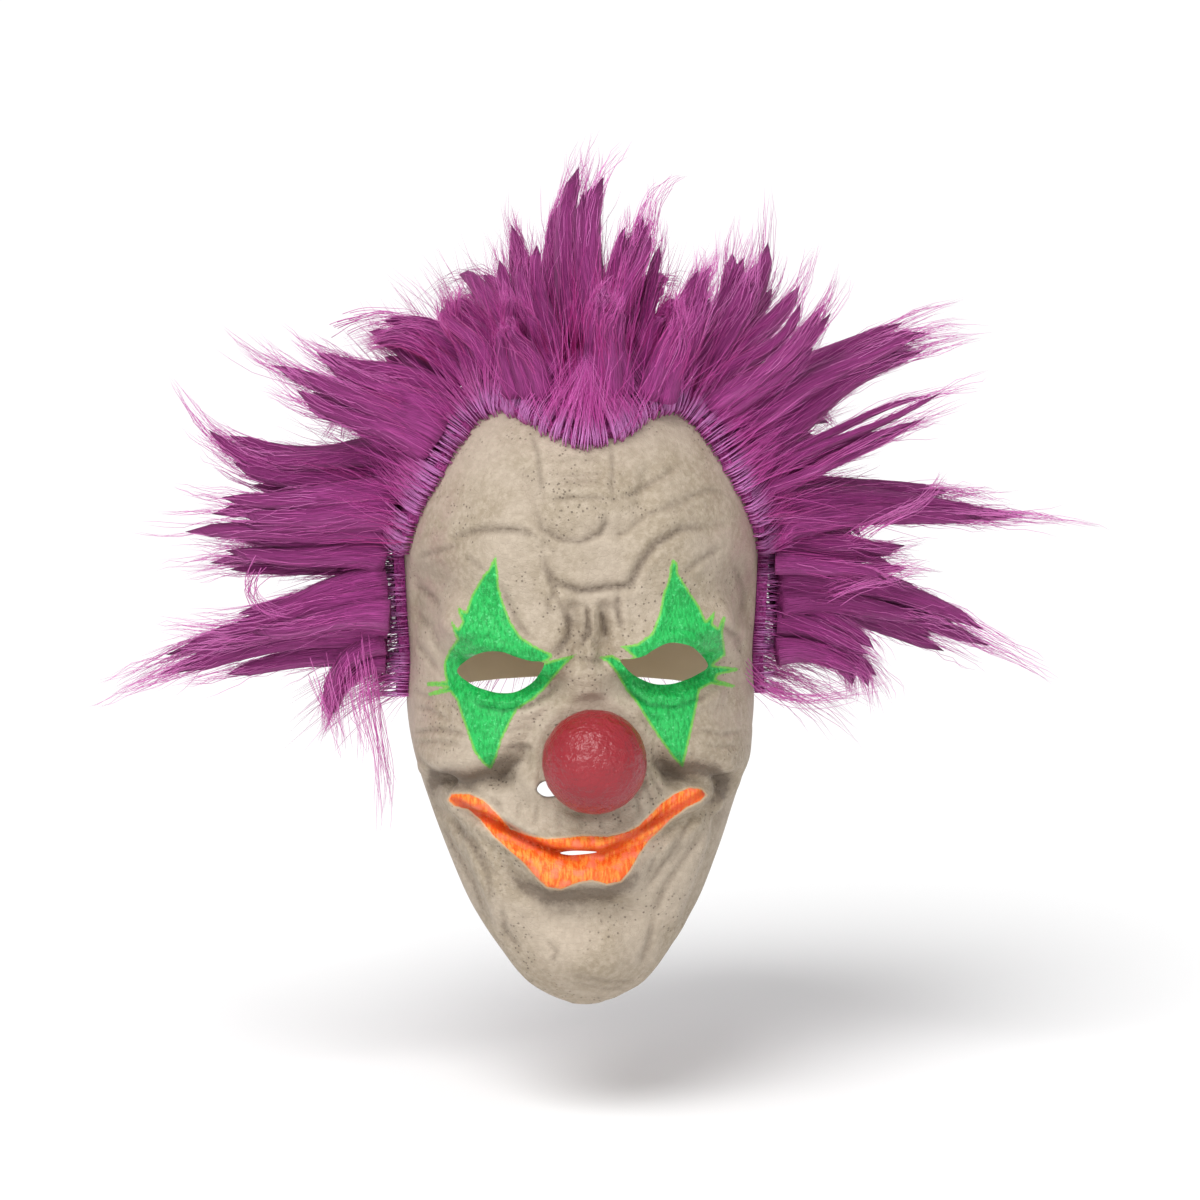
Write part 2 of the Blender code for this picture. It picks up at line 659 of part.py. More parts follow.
def main():
    clear_scene()
    parts = new_collection("clown_mask")
    cutters = new_collection("clown_mask_cutters")
    make_latex_face(parts, cutters)
    make_nose_ball(parts)
    make_fur_wig(parts, cutters)


main()
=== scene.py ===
"""Looks of the clown mask: moulded latex with painted make-up, a glossy ball nose and teased fur.

Units are metres. +Z is up, the face looks along -Y and +X is to the right of someone facing it.
"""

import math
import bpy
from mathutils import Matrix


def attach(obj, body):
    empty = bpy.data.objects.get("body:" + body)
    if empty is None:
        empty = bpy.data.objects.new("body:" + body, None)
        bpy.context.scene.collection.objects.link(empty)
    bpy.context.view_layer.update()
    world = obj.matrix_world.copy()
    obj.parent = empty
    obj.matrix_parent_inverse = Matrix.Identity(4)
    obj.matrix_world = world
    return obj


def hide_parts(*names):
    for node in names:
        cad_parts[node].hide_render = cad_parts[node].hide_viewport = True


bl_info = {
    "name": "Clown Mask",
    "version": (1, 0, 0),
    "blender": (4, 5, 0),
    "location": "3D View > Sidebar > Clown Mask",
    "description": "Models the latex face, the ball nose and the fur wig of a clown mask",
    "category": "Object",
}

import bpy
import numpy as np
from bpy.props import FloatProperty, IntProperty, PointerProperty
from bpy.types import Operator, Panel, PropertyGroup
from mathutils import Vector, noise

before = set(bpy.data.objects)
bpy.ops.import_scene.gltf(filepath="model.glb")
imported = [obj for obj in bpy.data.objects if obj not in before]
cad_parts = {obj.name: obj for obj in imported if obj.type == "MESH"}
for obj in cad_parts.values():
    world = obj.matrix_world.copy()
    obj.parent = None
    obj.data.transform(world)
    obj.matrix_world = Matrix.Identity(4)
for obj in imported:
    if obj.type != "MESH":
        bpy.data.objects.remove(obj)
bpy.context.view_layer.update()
BODY = "root"

# Driving sizes of the latex, as in the solid part
MASK_WIDTH = 0.171
MASK_HEIGHT = 0.305
CROWN_DROP = 0.092
FACE_DEPTH = 0.094
HEAD_BACK = 0.097
LATEX_WALL = 0.002
EAR_LEVEL = 0.172
SECTION_POWER = 0.9
NOSE_DIAMETER = 0.050
NOSE_WALL = 0.0025
NOSE_ACROSS = 0.0015
NOSE_DOWN = 0.178
NOSE_SEAT_FORWARD = 0.0905
NOSE_SEAT_SET_BACK = 0.014
FUR_DEPTH = 0.019
FUR_RIM_DEPTH = 0.009
FUR_DROP = 0.163
FUR_SIDE_FORWARD = 0.014
HAIR_REACH = 0.250
TUFT_THICKNESS = 0.046
BARE_RIM = 0.007
GLUE_GAP = 0.0003

HALF_WIDTH = MASK_WIDTH / 2
CROWN_Z = LATEX_WALL
NOSE_RADIUS = NOSE_DIAMETER / 2
NOSE_SEAT_RADIUS = math.sqrt(NOSE_RADIUS ** 2 - NOSE_SEAT_SET_BACK ** 2)

# The photograph's frame: 1200 pixels across, with the crown's axis at AXIS_PIXEL
FRAME_PIXELS = 1200
PIXEL = 0.00048
AXIS_PIXEL = (580, 356)
VIEW_AZIMUTH = math.radians(-3)
VIEW_ELEVATION = math.radians(10)
VIEW_DISTANCE = 4.0
SENSOR = 36.0

# Where the face's relief fades out: degrees round the head, a share of a level, shares of the nose's seat
FORM_END_TURN = 88
FORM_FADE_TURN = 14
WRINKLE_END_TURN = 84
WRINKLE_FADE_TURN = 16
CHIN_FADE = 0.06
NOSE_SEAT_FLAT = 1.55
NOSE_SEAT_BLEND = 0.28
NOSE_SEAT_TURN = 60

# Fine relief in metres, the creases' and rolls' for each millimetre that WRINKLES gives
LIP_RISE = 0.0011
LUMP_RISE = 0.00035
LUMP_SIZE = 0.009
GRAIN_RISE = 0.0002
GRAIN_SIZE = 0.0038
CREASE_DEPTH = 0.00135
CREASE_LIP = 0.00036
ROLL_RISE = 0.001
NOSE_LUMP_SIZE = 0.0032
NOSE_SWELL_SIZE = 0.007
NOSE_SWELL_SHARE = 0.6

# Fineness of the latex's mesh, the near end of its cutters, and the millimetres that make-up is read over
BACK_COLUMNS = 8
CROWN_ROWS = 8
DOME_ROWS = 46
BARE_LEVEL = 0.5
INSIDE_FACES_KEPT = 0.62
JOIN_DISTANCE = 0.00002
CUT_NEAR = 0.130
PAINT_REACH = 9

# The fur: fineness of its meshes, then sizes in metres and shares
CAP_COLUMNS = 120
CAP_ROWS = 56
POOL_PLACES = 30000
WISPS = 8
GUIDE_RINGS = 48
CORE_RINGS = 11
CORE_SIDES = 8
LOCK_RINGS = 7
PILE_RINGS = 6
LOOSE_RINGS = 12
STRAND_SIDES = 3
CAP_SET_BACK = 0.0012
CAP_DEPTH_SHARE = 0.55
HOOD_SIDE_SHARE = 0.95
SHOULDER_SHARE = 0.3
BACK_DROOP = 0.45
BACK_BEND = 0.04
BACK_BLUNT = 0.4
BACK_DENSE = 0.8
CORE_SHARE = 0.82
WISP_SPREAD = 0.40
WISP_REACH = (0.74, 1.0)
WISP_TINT = 0.13
WISP_WAVE = 0.0022
WISP_THICKNESS = 0.205
STRAND_LENGTH = (0.024, 0.052)
STRAY_SHARE = 0.06
STRAY_REACH = (0.004, 0.010)
STRAY_SPREAD = 0.0015
PILE_LENGTH = (0.022, 0.058)
RIM_EDGE = 0.003
RIM_RISE = (0.0055, 0.0090)
RIM_LENGTH = (0.020, 0.052)
RIM_OVERHANG = (0.0005, 0.0040)
# Strength of the painted lilac sheen on the strands that roll over the hairline
RIM_PAINTED_SHEEN = 0.75

# The stage: a pale floor, even light, a soft sun from above and two softboxes in front
FLOOR_SIZE = 40
FLOOR_Z = -0.36
WORLD_STRENGTH = 0.6
SUN_POWER = 2.3
SUN_SPREAD = math.radians(35)
SUN_WAY = (0.35, 0.75, -1.0)
LIGHT_AIM = (0, -0.05, -0.14)
SOFTBOXES = [
    # name, place, size, power
    ("softbox_left", (-1.1, -1.9, 0.45), 0.55, 7),
    ("softbox_right", (1.2, -1.9, 0.45), 0.55, 6),
]

COLOURS = {
    "skin": "#A99B8A",
    "skin_dark": "#978975",
    "skin_pale": "#BBAD9B",
    "blush": "#A58782",
    # Painted shade for the creases and hollows of the face
    "crease_shade": "#57493D",
    "pore": "#4A3E34",
    "green": "#0A8F3C",
    "green_light": "#22B455",
    "green_mint": "#63E08C",
    "green_yellow": "#8FBF4A",
    # Green darkened by painted shade in the creases
    "green_crease_shade": "#05632A",
    "orange": "#EE5F16",
    "orange_yellow": "#F7923A",
    # Pinker orange for painted highlights on the lips
    "orange_pink_highlight": "#F97E5E",
    "orange_rim": "#D9B58C",
    # Darker orange for painted shade in the crease where the lips meet
    "mouth_line": "#B93A10",
    # Painted shade in and round the nostrils
    "nostril_shade": "#2B2320",
    "bare_latex": "#D8C9AE",
    "bare_latex_dark": "#C7B595",
    "red": "#7E121D",
    "red_light": "#95212D",
    "fur_dark": "#9A1C78",
    "fur": "#C843A4",
    "fur_pale": "#E27BC9",
    "fur_tip": "#E58BD0",
    # Lilac painted sheen on the rolled rim
    "fur_painted_sheen": "#D39AD8",
    "crimson": "#C4135C",
    "root": "#7A1262",
    "root_light": "#C94FA8",
    "paper": "#F4F4F4",
    "light": "#FFFFFF",
}

SECTIONS = [
    # down, half_width, front, edge, back
    (0.00, 1.000, 0.990, 0.00, 1.00),
    (0.14, 0.985, 1.000, 0.00, 0.98),
    (0.24, 0.970, 0.925, 0.00, 0.95),
    (0.36, 0.980, 0.930, 0.00, 0.88),
    (0.46, 0.945, 0.930, 0.05, 0.82),
    (0.57, 0.860, 0.935, 0.13, 0.80),
    (0.69, 0.745, 0.935, 0.26, 0.80),
    (0.79, 0.630, 0.880, 0.38, 0.80),
    (0.88, 0.475, 0.840, 0.50, 0.80),
    (0.945, 0.335, 0.760, 0.57, 0.80),
    (0.980, 0.200, 0.690, 0.59, 0.80),
    (1.000, 0.085, 0.640, 0.59, 0.80),
]

FORMS = [
    # name, paired, across, down, across_end, down_end, width, rise
    ("forehead_lump", False, 0.00, 0.185, 0.00, 0.215, 0.17, 0.040),
    ("forehead_side", True, 0.42, 0.230, 0.52, 0.285, 0.17, 0.045),
    ("forehead_crease", False, -0.19, 0.232, 0.17, 0.232, 0.05, -0.035),
    ("forehead_upright", True, 0.33, 0.150, 0.26, 0.215, 0.05, -0.025),
    ("temple_hollow", True, 0.86, 0.330, 0.88, 0.380, 0.13, -0.050),
    ("frown_crease", True, 0.085, 0.350, 0.075, 0.425, 0.045, -0.050),
    ("frown_pad", False, 0.00, 0.360, 0.00, 0.415, 0.05, 0.035),
    ("brow_ridge", True, 0.24, 0.425, 0.72, 0.385, 0.11, 0.095),
    ("eye_socket", True, 0.35, 0.468, 0.62, 0.460, 0.14, -0.110),
    ("upper_lid", True, 0.24, 0.448, 0.70, 0.428, 0.055, 0.050),
    ("eye_bag", True, 0.28, 0.506, 0.68, 0.500, 0.075, 0.065),
    ("nose_bridge", False, 0.00, 0.455, 0.00, 0.550, 0.13, 0.100),
    ("nose_wing", True, 0.22, 0.610, 0.26, 0.628, 0.10, 0.090),
    ("cheek_ball", True, 0.52, 0.570, 0.68, 0.610, 0.20, 0.110),
    ("smile_fold_upper", True, 0.33, 0.590, 0.47, 0.625, 0.06, -0.065),
    ("smile_fold_lower", True, 0.47, 0.625, 0.80, 0.650, 0.06, -0.080),
    ("smile_fold_end", True, 0.80, 0.650, 0.79, 0.700, 0.06, -0.050),
    ("smile_corner_pad", True, 0.73, 0.665, 0.72, 0.680, 0.06, 0.045),
    ("muzzle", False, -0.22, 0.695, 0.22, 0.695, 0.17, 0.075),
    ("upper_lip", True, 0.05, 0.728, 0.60, 0.668, 0.06, 0.045),
    ("mouth_line", True, 0.05, 0.748, 0.64, 0.682, 0.04, -0.045),
    ("lower_lip", False, -0.20, 0.785, 0.20, 0.785, 0.09, 0.070),
    ("lower_lip_side", True, 0.22, 0.770, 0.58, 0.705, 0.05, 0.035),
    ("under_lip", False, -0.18, 0.835, 0.18, 0.835, 0.09, -0.065),
    ("chin_ball", False, -0.05, 0.905, 0.05, 0.905, 0.21, 0.090),
    ("jaw_fold", True, 0.62, 0.745, 0.46, 0.850, 0.09, 0.035),
    ("jaw_crease", True, 0.74, 0.720, 0.56, 0.860, 0.05, -0.030),
]

HAIRLINE = [
    # across, down
    (0.00, 0.115),
    (0.14, 0.108),
    (0.26, 0.094),
    (0.38, 0.077),
    (0.49, 0.074),
    (0.59, 0.092),
    (0.69, 0.126),
    (0.82, 0.187),
    (0.92, 0.245),
    (0.98, 0.308),
]

# Eye holes, mouth and make-up, as outlines in the photograph's pixels
OUTLINES = {
    "eye_hole_left": [
        (457, 671), (470, 658), (485, 652), (502, 652), (516, 657), (530, 661), (544, 663), (538, 676),
        (529, 685), (515, 692), (500, 693), (486, 690), (471, 684),
    ],
    "eye_hole_right": [
        (620, 660), (631, 659), (644, 656), (655, 649), (669, 643), (683, 644), (695, 649), (708, 665),
        (698, 674), (685, 680), (671, 684), (655, 684), (641, 679), (630, 672),
    ],
    "green_left": [
        (496, 554), (498, 572), (499, 587), (504, 604), (511, 622), (521, 637), (535, 646), (554, 655),
        (549, 660), (543, 663), (557, 659), (577, 654), (566, 664), (554, 678), (544, 690), (533, 700),
        (517, 710), (508, 727), (502, 740), (497, 757), (491, 770), (483, 764), (474, 752), (467, 732),
        (456, 700), (450, 692), (429, 696), (428, 693), (447, 687), (427, 686), (427, 682), (446, 681),
        (444, 672), (444, 662), (449, 650), (457, 639), (454, 634), (449, 617), (458, 629), (462, 622),
        (456, 604), (466, 612), (471, 596), (483, 575), (488, 570),
    ],
    "green_right": [
        (672, 559), (678, 563), (678, 573), (690, 592), (700, 607), (706, 621), (716, 609), (713, 624),
        (718, 628), (723, 616), (726, 618), (723, 632), (726, 655), (713, 665), (738, 668), (738, 671),
        (718, 675), (716, 679), (735, 685), (734, 688), (711, 684), (700, 690), (696, 711), (690, 738),
        (683, 768), (673, 758), (658, 737), (645, 717), (635, 701), (625, 689), (616, 673), (608, 663),
        (598, 657), (612, 655), (621, 660), (635, 658), (620, 646), (637, 644), (652, 633), (659, 614),
        (663, 594), (669, 577), (670, 566),
    ],
    "orange_mouth": [
        (448, 800), (452, 794), (469, 794), (484, 801), (498, 815), (510, 829), (529, 836), (547, 839),
        (565, 838), (584, 836), (607, 837), (625, 833), (639, 826), (650, 815), (662, 803), (675, 794),
        (689, 788), (701, 789), (706, 795), (700, 801), (687, 807), (671, 819), (660, 830), (648, 841),
        (639, 854), (630, 870), (621, 881), (607, 884), (593, 880), (579, 882), (561, 889), (547, 887),
        (538, 879), (524, 863), (508, 849), (494, 836), (480, 819), (468, 809), (455, 806),
    ],
    "mouth_slit": [
        (560, 853), (570, 851), (585, 851), (597, 852), (585, 854), (570, 855),
    ],
    "nostril_left": [
        (537, 790), (541, 783), (550, 781), (559, 785), (562, 793), (554, 796), (544, 796),
    ],
    "nostril_right": [
        (613, 793), (617, 788), (624, 788), (628, 794), (622, 798),
    ],
}

OPENINGS = [
    # outline, corners, far end towards the camera
    ("eye_hole_left", 72, 0.020),
    ("eye_hole_right", 72, 0.020),
    ("mouth_slit", 40, 0.040),
    ("nostril_left", 32, 0.040),
    ("nostril_right", 24, 0.040),
]

# The line where the lips meet, in the photograph's pixels
MOUTH_LINE = [(455, 800), (500, 827), (554, 852), (603, 852), (655, 822), (703, 793)]

# Creases (depth above 0) and rolls (below 0) that are drawn over the main forms. width is in pixels of the
# photograph, depth in millimetres, and the way goes from point to point in the photograph's pixels.
WRINKLES = [
    # width, depth, way
    (3.0, 0.9, [(530, 431), (538, 454), (540, 477), (543, 497)]),
    (2.8, 0.9, [(611, 444), (612, 467), (613, 500)]),
    (3.0, 0.9, [(544, 500), (574, 497), (604, 498), (616, 499)]),
    (2.2, 0.5, [(558, 477), (580, 475), (607, 473)]),
    (2.2, 0.5, [(556, 484), (580, 481), (604, 480)]),
    (2.2, 0.4, [(552, 462), (575, 459), (605, 460)]),
    (3.6, 1.3, [(537, 507), (542, 528), (558, 539), (581, 541), (599, 534), (606, 523), (604, 507)]),
    (4.2, 1.6, [
        (543, 543), (546, 569), (558, 584), (581, 591), (602, 588), (630, 585), (640, 564), (655, 544),
        (681, 529), (722, 525),
    ]),
    (4.0, 1.3, [(454, 537), (482, 529), (518, 530), (533, 534), (543, 545)]),
    (2.6, 0.7, [(542, 535), (550, 546), (557, 556)]),
    (3.0, 0.9, [(613, 500), (636, 492), (660, 477), (682, 463)]),
    (2.6, 0.8, [(606, 538), (625, 533), (645, 515), (666, 507), (687, 492)]),
    (3.0, 0.8, [(666, 513), (691, 496), (711, 490), (729, 495)]),
    (3.2, 0.9, [(681, 575), (706, 556), (724, 545)]),
    (3.0, 0.7, [(464, 557), (474, 562), (484, 571)]),
    (2.6, 0.5, [(448, 538), (458, 535), (470, 533)]),
    (4.0, 1.6, [(563, 608), (570, 624), (568, 638), (559, 650), (549, 655)]),
    (3.6, 2.0, [(587, 602), (588, 622), (585, 637), (578, 648)]),
    (2.6, 1.2, [(588, 624), (592, 637), (598, 647)]),
    (3.4, 1.3, [(599, 608), (604, 624), (607, 642)]),
    (3.6, 1.3, [(619, 590), (617, 610), (622, 632)]),
    (3.0, 0.9, [(556, 590), (548, 603), (550, 616)]),
    (3.0, 0.9, [(546, 572), (556, 597), (563, 610)]),
    (2.4, 0.9, [(574, 659), (596, 661), (612, 659)]),
    (2.2, 0.6, [(580, 668), (596, 667), (611, 667)]),
    (3.2, 1.0, [(500, 584), (507, 600), (517, 622), (533, 640)]),
    (4.5, -1.6, [(497, 606), (505, 628), (521, 643), (545, 655)]),
    (4.5, -1.5, [(668, 596), (662, 620), (650, 639), (630, 650)]),
    (3.2, 1.0, [(719, 624), (737, 636), (742, 656)]),
    (3.0, 0.7, [(733, 560), (744, 590), (741, 620)]),
    (3.2, 0.8, [(413, 584), (431, 596), (441, 610)]),
    (3.2, 0.8, [(412, 612), (430, 626), (440, 652)]),
    (2.8, 0.7, [(414, 640), (426, 656), (438, 672)]),
    (3.0, 0.8, [(418, 556), (438, 552), (462, 543)]),
    (4.0, -1.6, [(459, 676), (471, 690), (488, 699), (510, 701), (530, 695), (545, 684), (560, 668),
                (574, 657)]),
    (3.2, 1.4, [(462, 693), (480, 706), (503, 711), (528, 706), (548, 694), (560, 680)]),
    (4.0, -1.6, [(606, 659), (618, 668), (632, 684), (650, 694), (674, 696), (698, 686), (714, 672)]),
    (3.2, 1.4, [(618, 676), (632, 694), (650, 705), (676, 708), (702, 698), (716, 686)]),
    (3.4, -1.2, [(450, 668), (464, 655), (482, 645), (502, 646), (520, 652)]),
    (3.4, -1.2, [(640, 653), (655, 642), (670, 636), (686, 637), (702, 646), (712, 658)]),
    (3.0, 0.9, [(456, 645), (470, 639), (486, 637), (500, 640)]),
    (3.0, 0.9, [(662, 632), (678, 628), (696, 632), (712, 644)]),
    (2.6, 0.8, [(411, 733), (439, 730), (468, 735)]),
    (2.4, 0.6, [(414, 744), (440, 742), (466, 747)]),
    (2.4, 0.7, [(502, 733), (523, 728), (541, 730)]),
    (2.2, 0.5, [(505, 741), (525, 737), (540, 738)]),
    (2.4, 0.6, [(700, 730), (722, 735), (745, 731)]),
    (2.4, 0.6, [(702, 745), (722, 748), (740, 745)]),
    (2.6, 0.7, [(414, 706), (430, 711), (452, 722)]),
    (2.4, 0.5, [(412, 690), (424, 696), (436, 700)]),
    (2.4, 0.6, [(640, 716), (650, 730), (662, 742)]),
    (7.0, 2.8, [(521, 749), (503, 762), (489, 773), (469, 779), (446, 776), (434, 779), (431, 790),
                (435, 806)]),
    (3.4, 1.2, [(414, 757), (428, 767), (437, 777)]),
    (3.0, 1.0, [(503, 748), (520, 746), (536, 749)]),
    (4.0, 1.4, [(497, 781), (510, 767), (522, 757)]),
    (7.0, 2.8, [(648, 750), (657, 762), (675, 769), (698, 769), (714, 772), (721, 781), (719, 796),
                (710, 812)]),
    (3.0, 1.2, [(645, 766), (655, 782), (665, 798)]),
    (2.6, 1.0, [(640, 772), (647, 790), (655, 808)]),
    (2.4, 0.9, [(632, 783), (637, 800), (640, 815)]),
    (2.4, 0.8, [(656, 765), (668, 780), (682, 790)]),
    (3.0, 1.0, [(668, 774), (685, 780), (704, 783)]),
    (3.0, 1.0, [(449, 789), (468, 788), (488, 795), (503, 809)]),
    (2.4, 0.8, [(496, 800), (500, 808), (505, 816)]),
    (2.4, 0.8, [(519, 803), (518, 812), (517, 820)]),
    (2.2, 0.8, [(537, 806), (536, 816), (534, 826)]),
    (2.2, 0.6, [(560, 812), (560, 820), (561, 830)]),
    (2.2, 0.6, [(579, 812), (581, 822), (582, 831)]),
    (2.2, 0.6, [(597, 810), (600, 820), (602, 831)]),
    (2.2, 0.7, [(616, 808), (619, 818), (620, 828)]),
    (5.0, 3.2, [
        (454, 799), (478, 808), (500, 826), (524, 842), (554, 851), (578, 853), (603, 851), (630, 842),
        (655, 822), (678, 803), (702, 793),
    ]),
    (9.0, -1.6, [(538, 868), (556, 872), (579, 869), (603, 871), (622, 866)]),
    (4.5, -1.0, [(500, 838), (522, 854), (540, 864)]),
    (4.5, -1.0, [(664, 822), (646, 838), (632, 856)]),
    (5.0, -1.2, [(515, 836), (545, 845), (580, 844), (615, 843), (640, 834)]),
    (8.0, 2.4, [(505, 868), (524, 886), (548, 897), (580, 893), (608, 894), (630, 882), (646, 862)]),
    (3.0, 1.0, [(556, 898), (572, 895), (590, 899)]),
    (2.6, 0.8, [(560, 905), (576, 903), (592, 907)]),
    (2.6, 0.8, [(556, 911), (574, 909), (590, 914)]),
    (3.6, 1.1, [(446, 811), (469, 842), (487, 874), (492, 908)]),
    (3.6, 1.0, [(437, 812), (453, 847), (474, 884), (486, 920)]),
    (3.0, 0.8, [(469, 829), (485, 858), (501, 884)]),
    (3.0, 0.8, [(434, 838), (450, 872), (470, 902)]),
    (2.6, 0.6, [(460, 822), (478, 852), (490, 880)]),
    (3.6, 1.1, [(696, 811), (675, 846), (659, 870), (641, 896)]),
    (3.6, 1.0, [(705, 829), (682, 861), (664, 888), (652, 919)]),
    (3.0, 0.8, [(687, 842), (676, 856), (668, 868)]),
    (3.0, 0.8, [(700, 806), (716, 800), (726, 790)]),
    (2.6, 0.7, [(668, 838), (655, 858), (646, 880)]),
    (3.4, 0.9, [(653, 920), (649, 943), (640, 965)]),
    (3.4, 0.9, [(500, 906), (506, 932), (520, 950)]),
    (2.8, 0.8, [(570, 975), (606, 982), (638, 982)]),
    (2.6, 0.7, [(574, 983), (604, 989), (632, 988)]),
    (2.6, 0.6, [(545, 940), (556, 952), (552, 966)]),
]

# Locks of the fur: the root's angle in front view and its share of the face's depth, the tip from the middle
# of the head and the bend as shares of the hair's reach, the thickness as a share of a tuft's, then how broad
# the tip stays and how dense the lock is
LOCKS = [
    # name, root_turn, root_depth, tip_x, tip_depth, tip_z, bend_x, bend_z, thickness, blunt, dense
    ("front_left", -16, 0.45, -0.15, 0.30, 0.52, -0.02, 0.03, 0.75, 0.45, 0.9),
    ("front_middle", 3, 0.50, 0.04, 0.32, 0.56, -0.02, 0.03, 0.80, 0.45, 0.9),
    ("front_right", 20, 0.42, 0.17, 0.28, 0.52, 0.02, 0.03, 0.75, 0.45, 0.9),
    ("top_fan_left", -12, 0.15, -0.13, 0.05, 0.68, -0.02, 0.00, 0.75, 0.50, 0.9),
    ("top_fan", -2, 0.00, 0.02, -0.05, 0.80, -0.04, 0.00, 1.00, 0.50, 1.1),
    ("top_fan_right", 10, 0.10, 0.13, 0.00, 0.69, 0.03, 0.00, 0.80, 0.40, 0.8),
    ("top_right_low", 24, 0.20, 0.25, 0.08, 0.60, 0.02, -0.02, 0.75, 0.40, 0.8),
    ("top_right_horn", 34, 0.00, 0.37, -0.05, 0.66, 0.04, -0.06, 1.00, 0.75, 1.2),
    ("top_right_side", 46, 0.22, 0.48, 0.10, 0.55, 0.05, -0.05, 0.80, 0.25, 0.8),
    ("right_high", 56, 0.05, 0.78, 0.00, 0.42, -0.04, 0.06, 1.00, 0.12, 1.3),
    ("right_high_wisp", 68, 0.20, 0.77, 0.12, 0.33, 0.00, 0.03, 0.80, 0.70, 0.45),
    ("right_long", 82, 0.00, 1.00, 0.00, 0.02, -0.05, 0.04, 1.00, 0.15, 1.4),
    ("right_long_under", 94, 0.12, 0.68, 0.05, -0.05, 0.00, 0.00, 0.85, 0.45, 0.7),
    ("right_low", 106, -0.10, 0.91, -0.05, -0.28, -0.02, 0.07, 1.00, 0.30, 1.2),
    ("right_low_under", 122, 0.02, 0.58, 0.00, -0.32, 0.04, 0.02, 0.85, 0.35, 0.9),
    ("top_left_low", -24, 0.15, -0.27, 0.05, 0.50, -0.03, 0.00, 0.80, 0.55, 0.8),
    ("top_left_side", -38, 0.00, -0.44, 0.00, 0.40, 0.00, 0.03, 0.90, 0.50, 0.7),
    ("left_high", -50, 0.20, -0.67, 0.10, 0.44, 0.03, -0.10, 1.00, 0.85, 1.4),
    ("left_horn", -68, 0.00, -0.78, 0.00, 0.31, -0.05, -0.16, 1.00, 0.22, 1.2),
    ("left_wide", -82, 0.15, -0.86, 0.05, 0.06, 0.02, -0.04, 0.95, 0.60, 1.0),
    ("left_wide_under", -92, -0.10, -0.80, -0.05, -0.05, 0.02, 0.02, 0.85, 0.45, 0.9),
    ("left_low_upper", -106, 0.10, -0.81, 0.05, -0.15, 0.05, -0.03, 0.90, 0.35, 1.0),
    ("left_low", -118, -0.05, -0.92, 0.00, -0.31, 0.02, 0.05, 1.00, 0.30, 1.1),
    ("left_low_under", -126, 0.02, -0.50, 0.00, -0.36, 0.00, -0.02, 0.80, 0.35, 0.8),
]

# Plain locks over the back, a row for each level
BACK_ROWS = [
    # down, count, middle, swing, length
    (30, 3, 184, 74, 0.30),
    (62, 5, 175, 132, 0.27),
    (88, 6, 182, 154, 0.24),
]

# Loose thin strands, as ways in the photograph's pixels: how far forward they hang, and how many there are
LOOSE_WAYS = [
    # forward, count, way
    (0.004, 26, [(362, 640), (373, 716), (382, 760), (388, 788), (383, 836)]),
    (0.000, 16, [(322, 660), (337, 718), (343, 742), (346, 762)]),
    (0.006, 14, [(352, 660), (352, 700), (362, 735), (366, 768)]),
    (0.010, 18, [(262, 560), (243, 578), (248, 600), (268, 612), (300, 616)]),
    (0.004, 18, [(330, 332), (360, 318), (392, 313), (445, 330)]),
    (0.004, 20, [(740, 660), (760, 690), (800, 704), (845, 694), (886, 682)]),
    (0.000, 22, [(850, 540), (880, 520), (925, 505), (948, 470)]),
    (0.000, 18, [(820, 600), (850, 584), (890, 578), (930, 562)]),
    (0.002, 14, [(640, 250), (650, 205), (662, 180), (684, 176)]),
]

# Where crimson dye shows near the roots, in the photograph's pixels
CRIMSON_SPOTS = [
    # x, y, radius, strength
    (468, 382, 20, 0.9),
    (434, 420, 26, 0.9),
    (398, 492, 18, 0.7),
    (580, 368, 55, 0.55),
    (520, 380, 30, 0.4),
    (694, 384, 22, 0.8),
    (640, 370, 30, 0.4),
    (412, 540, 16, 0.5),
    (790, 520, 40, 0.35),
]


def smooth_step(value):
    """0 below 0 and 1 above 1, with a smooth rise between."""
    value = np.clip(value, 0.0, 1.0)
    return value * value * (3 - 2 * value)


def smooth_rows(rows, where, column):
    """A column of a table, read along its first column by a cubic through the rows."""
    along = np.array([row[0] for row in rows], dtype=float)
    values = np.array([row[column] for row in rows], dtype=float)
    last = len(rows) - 1
    where = np.clip(where, along[0], along[last])
    after = np.clip(np.searchsorted(along, where), 1, last)
    low = after - 1
    before = np.maximum(after - 2, 0)
    beyond = np.minimum(after + 1, last)
    span = along[after] - along[low]
    slope_low = (values[after] - values[before]) / (along[after] - along[before])
    slope_high = (values[beyond] - values[low]) / (along[beyond] - along[low])
    t = (where - along[low]) / span
    start = (2 * t ** 3 - 3 * t ** 2 + 1) * values[low] + (t ** 3 - 2 * t ** 2 + t) * span * slope_low
    return start + (3 * t ** 2 - 2 * t ** 3) * values[after] + (t ** 3 - t ** 2) * span * slope_high


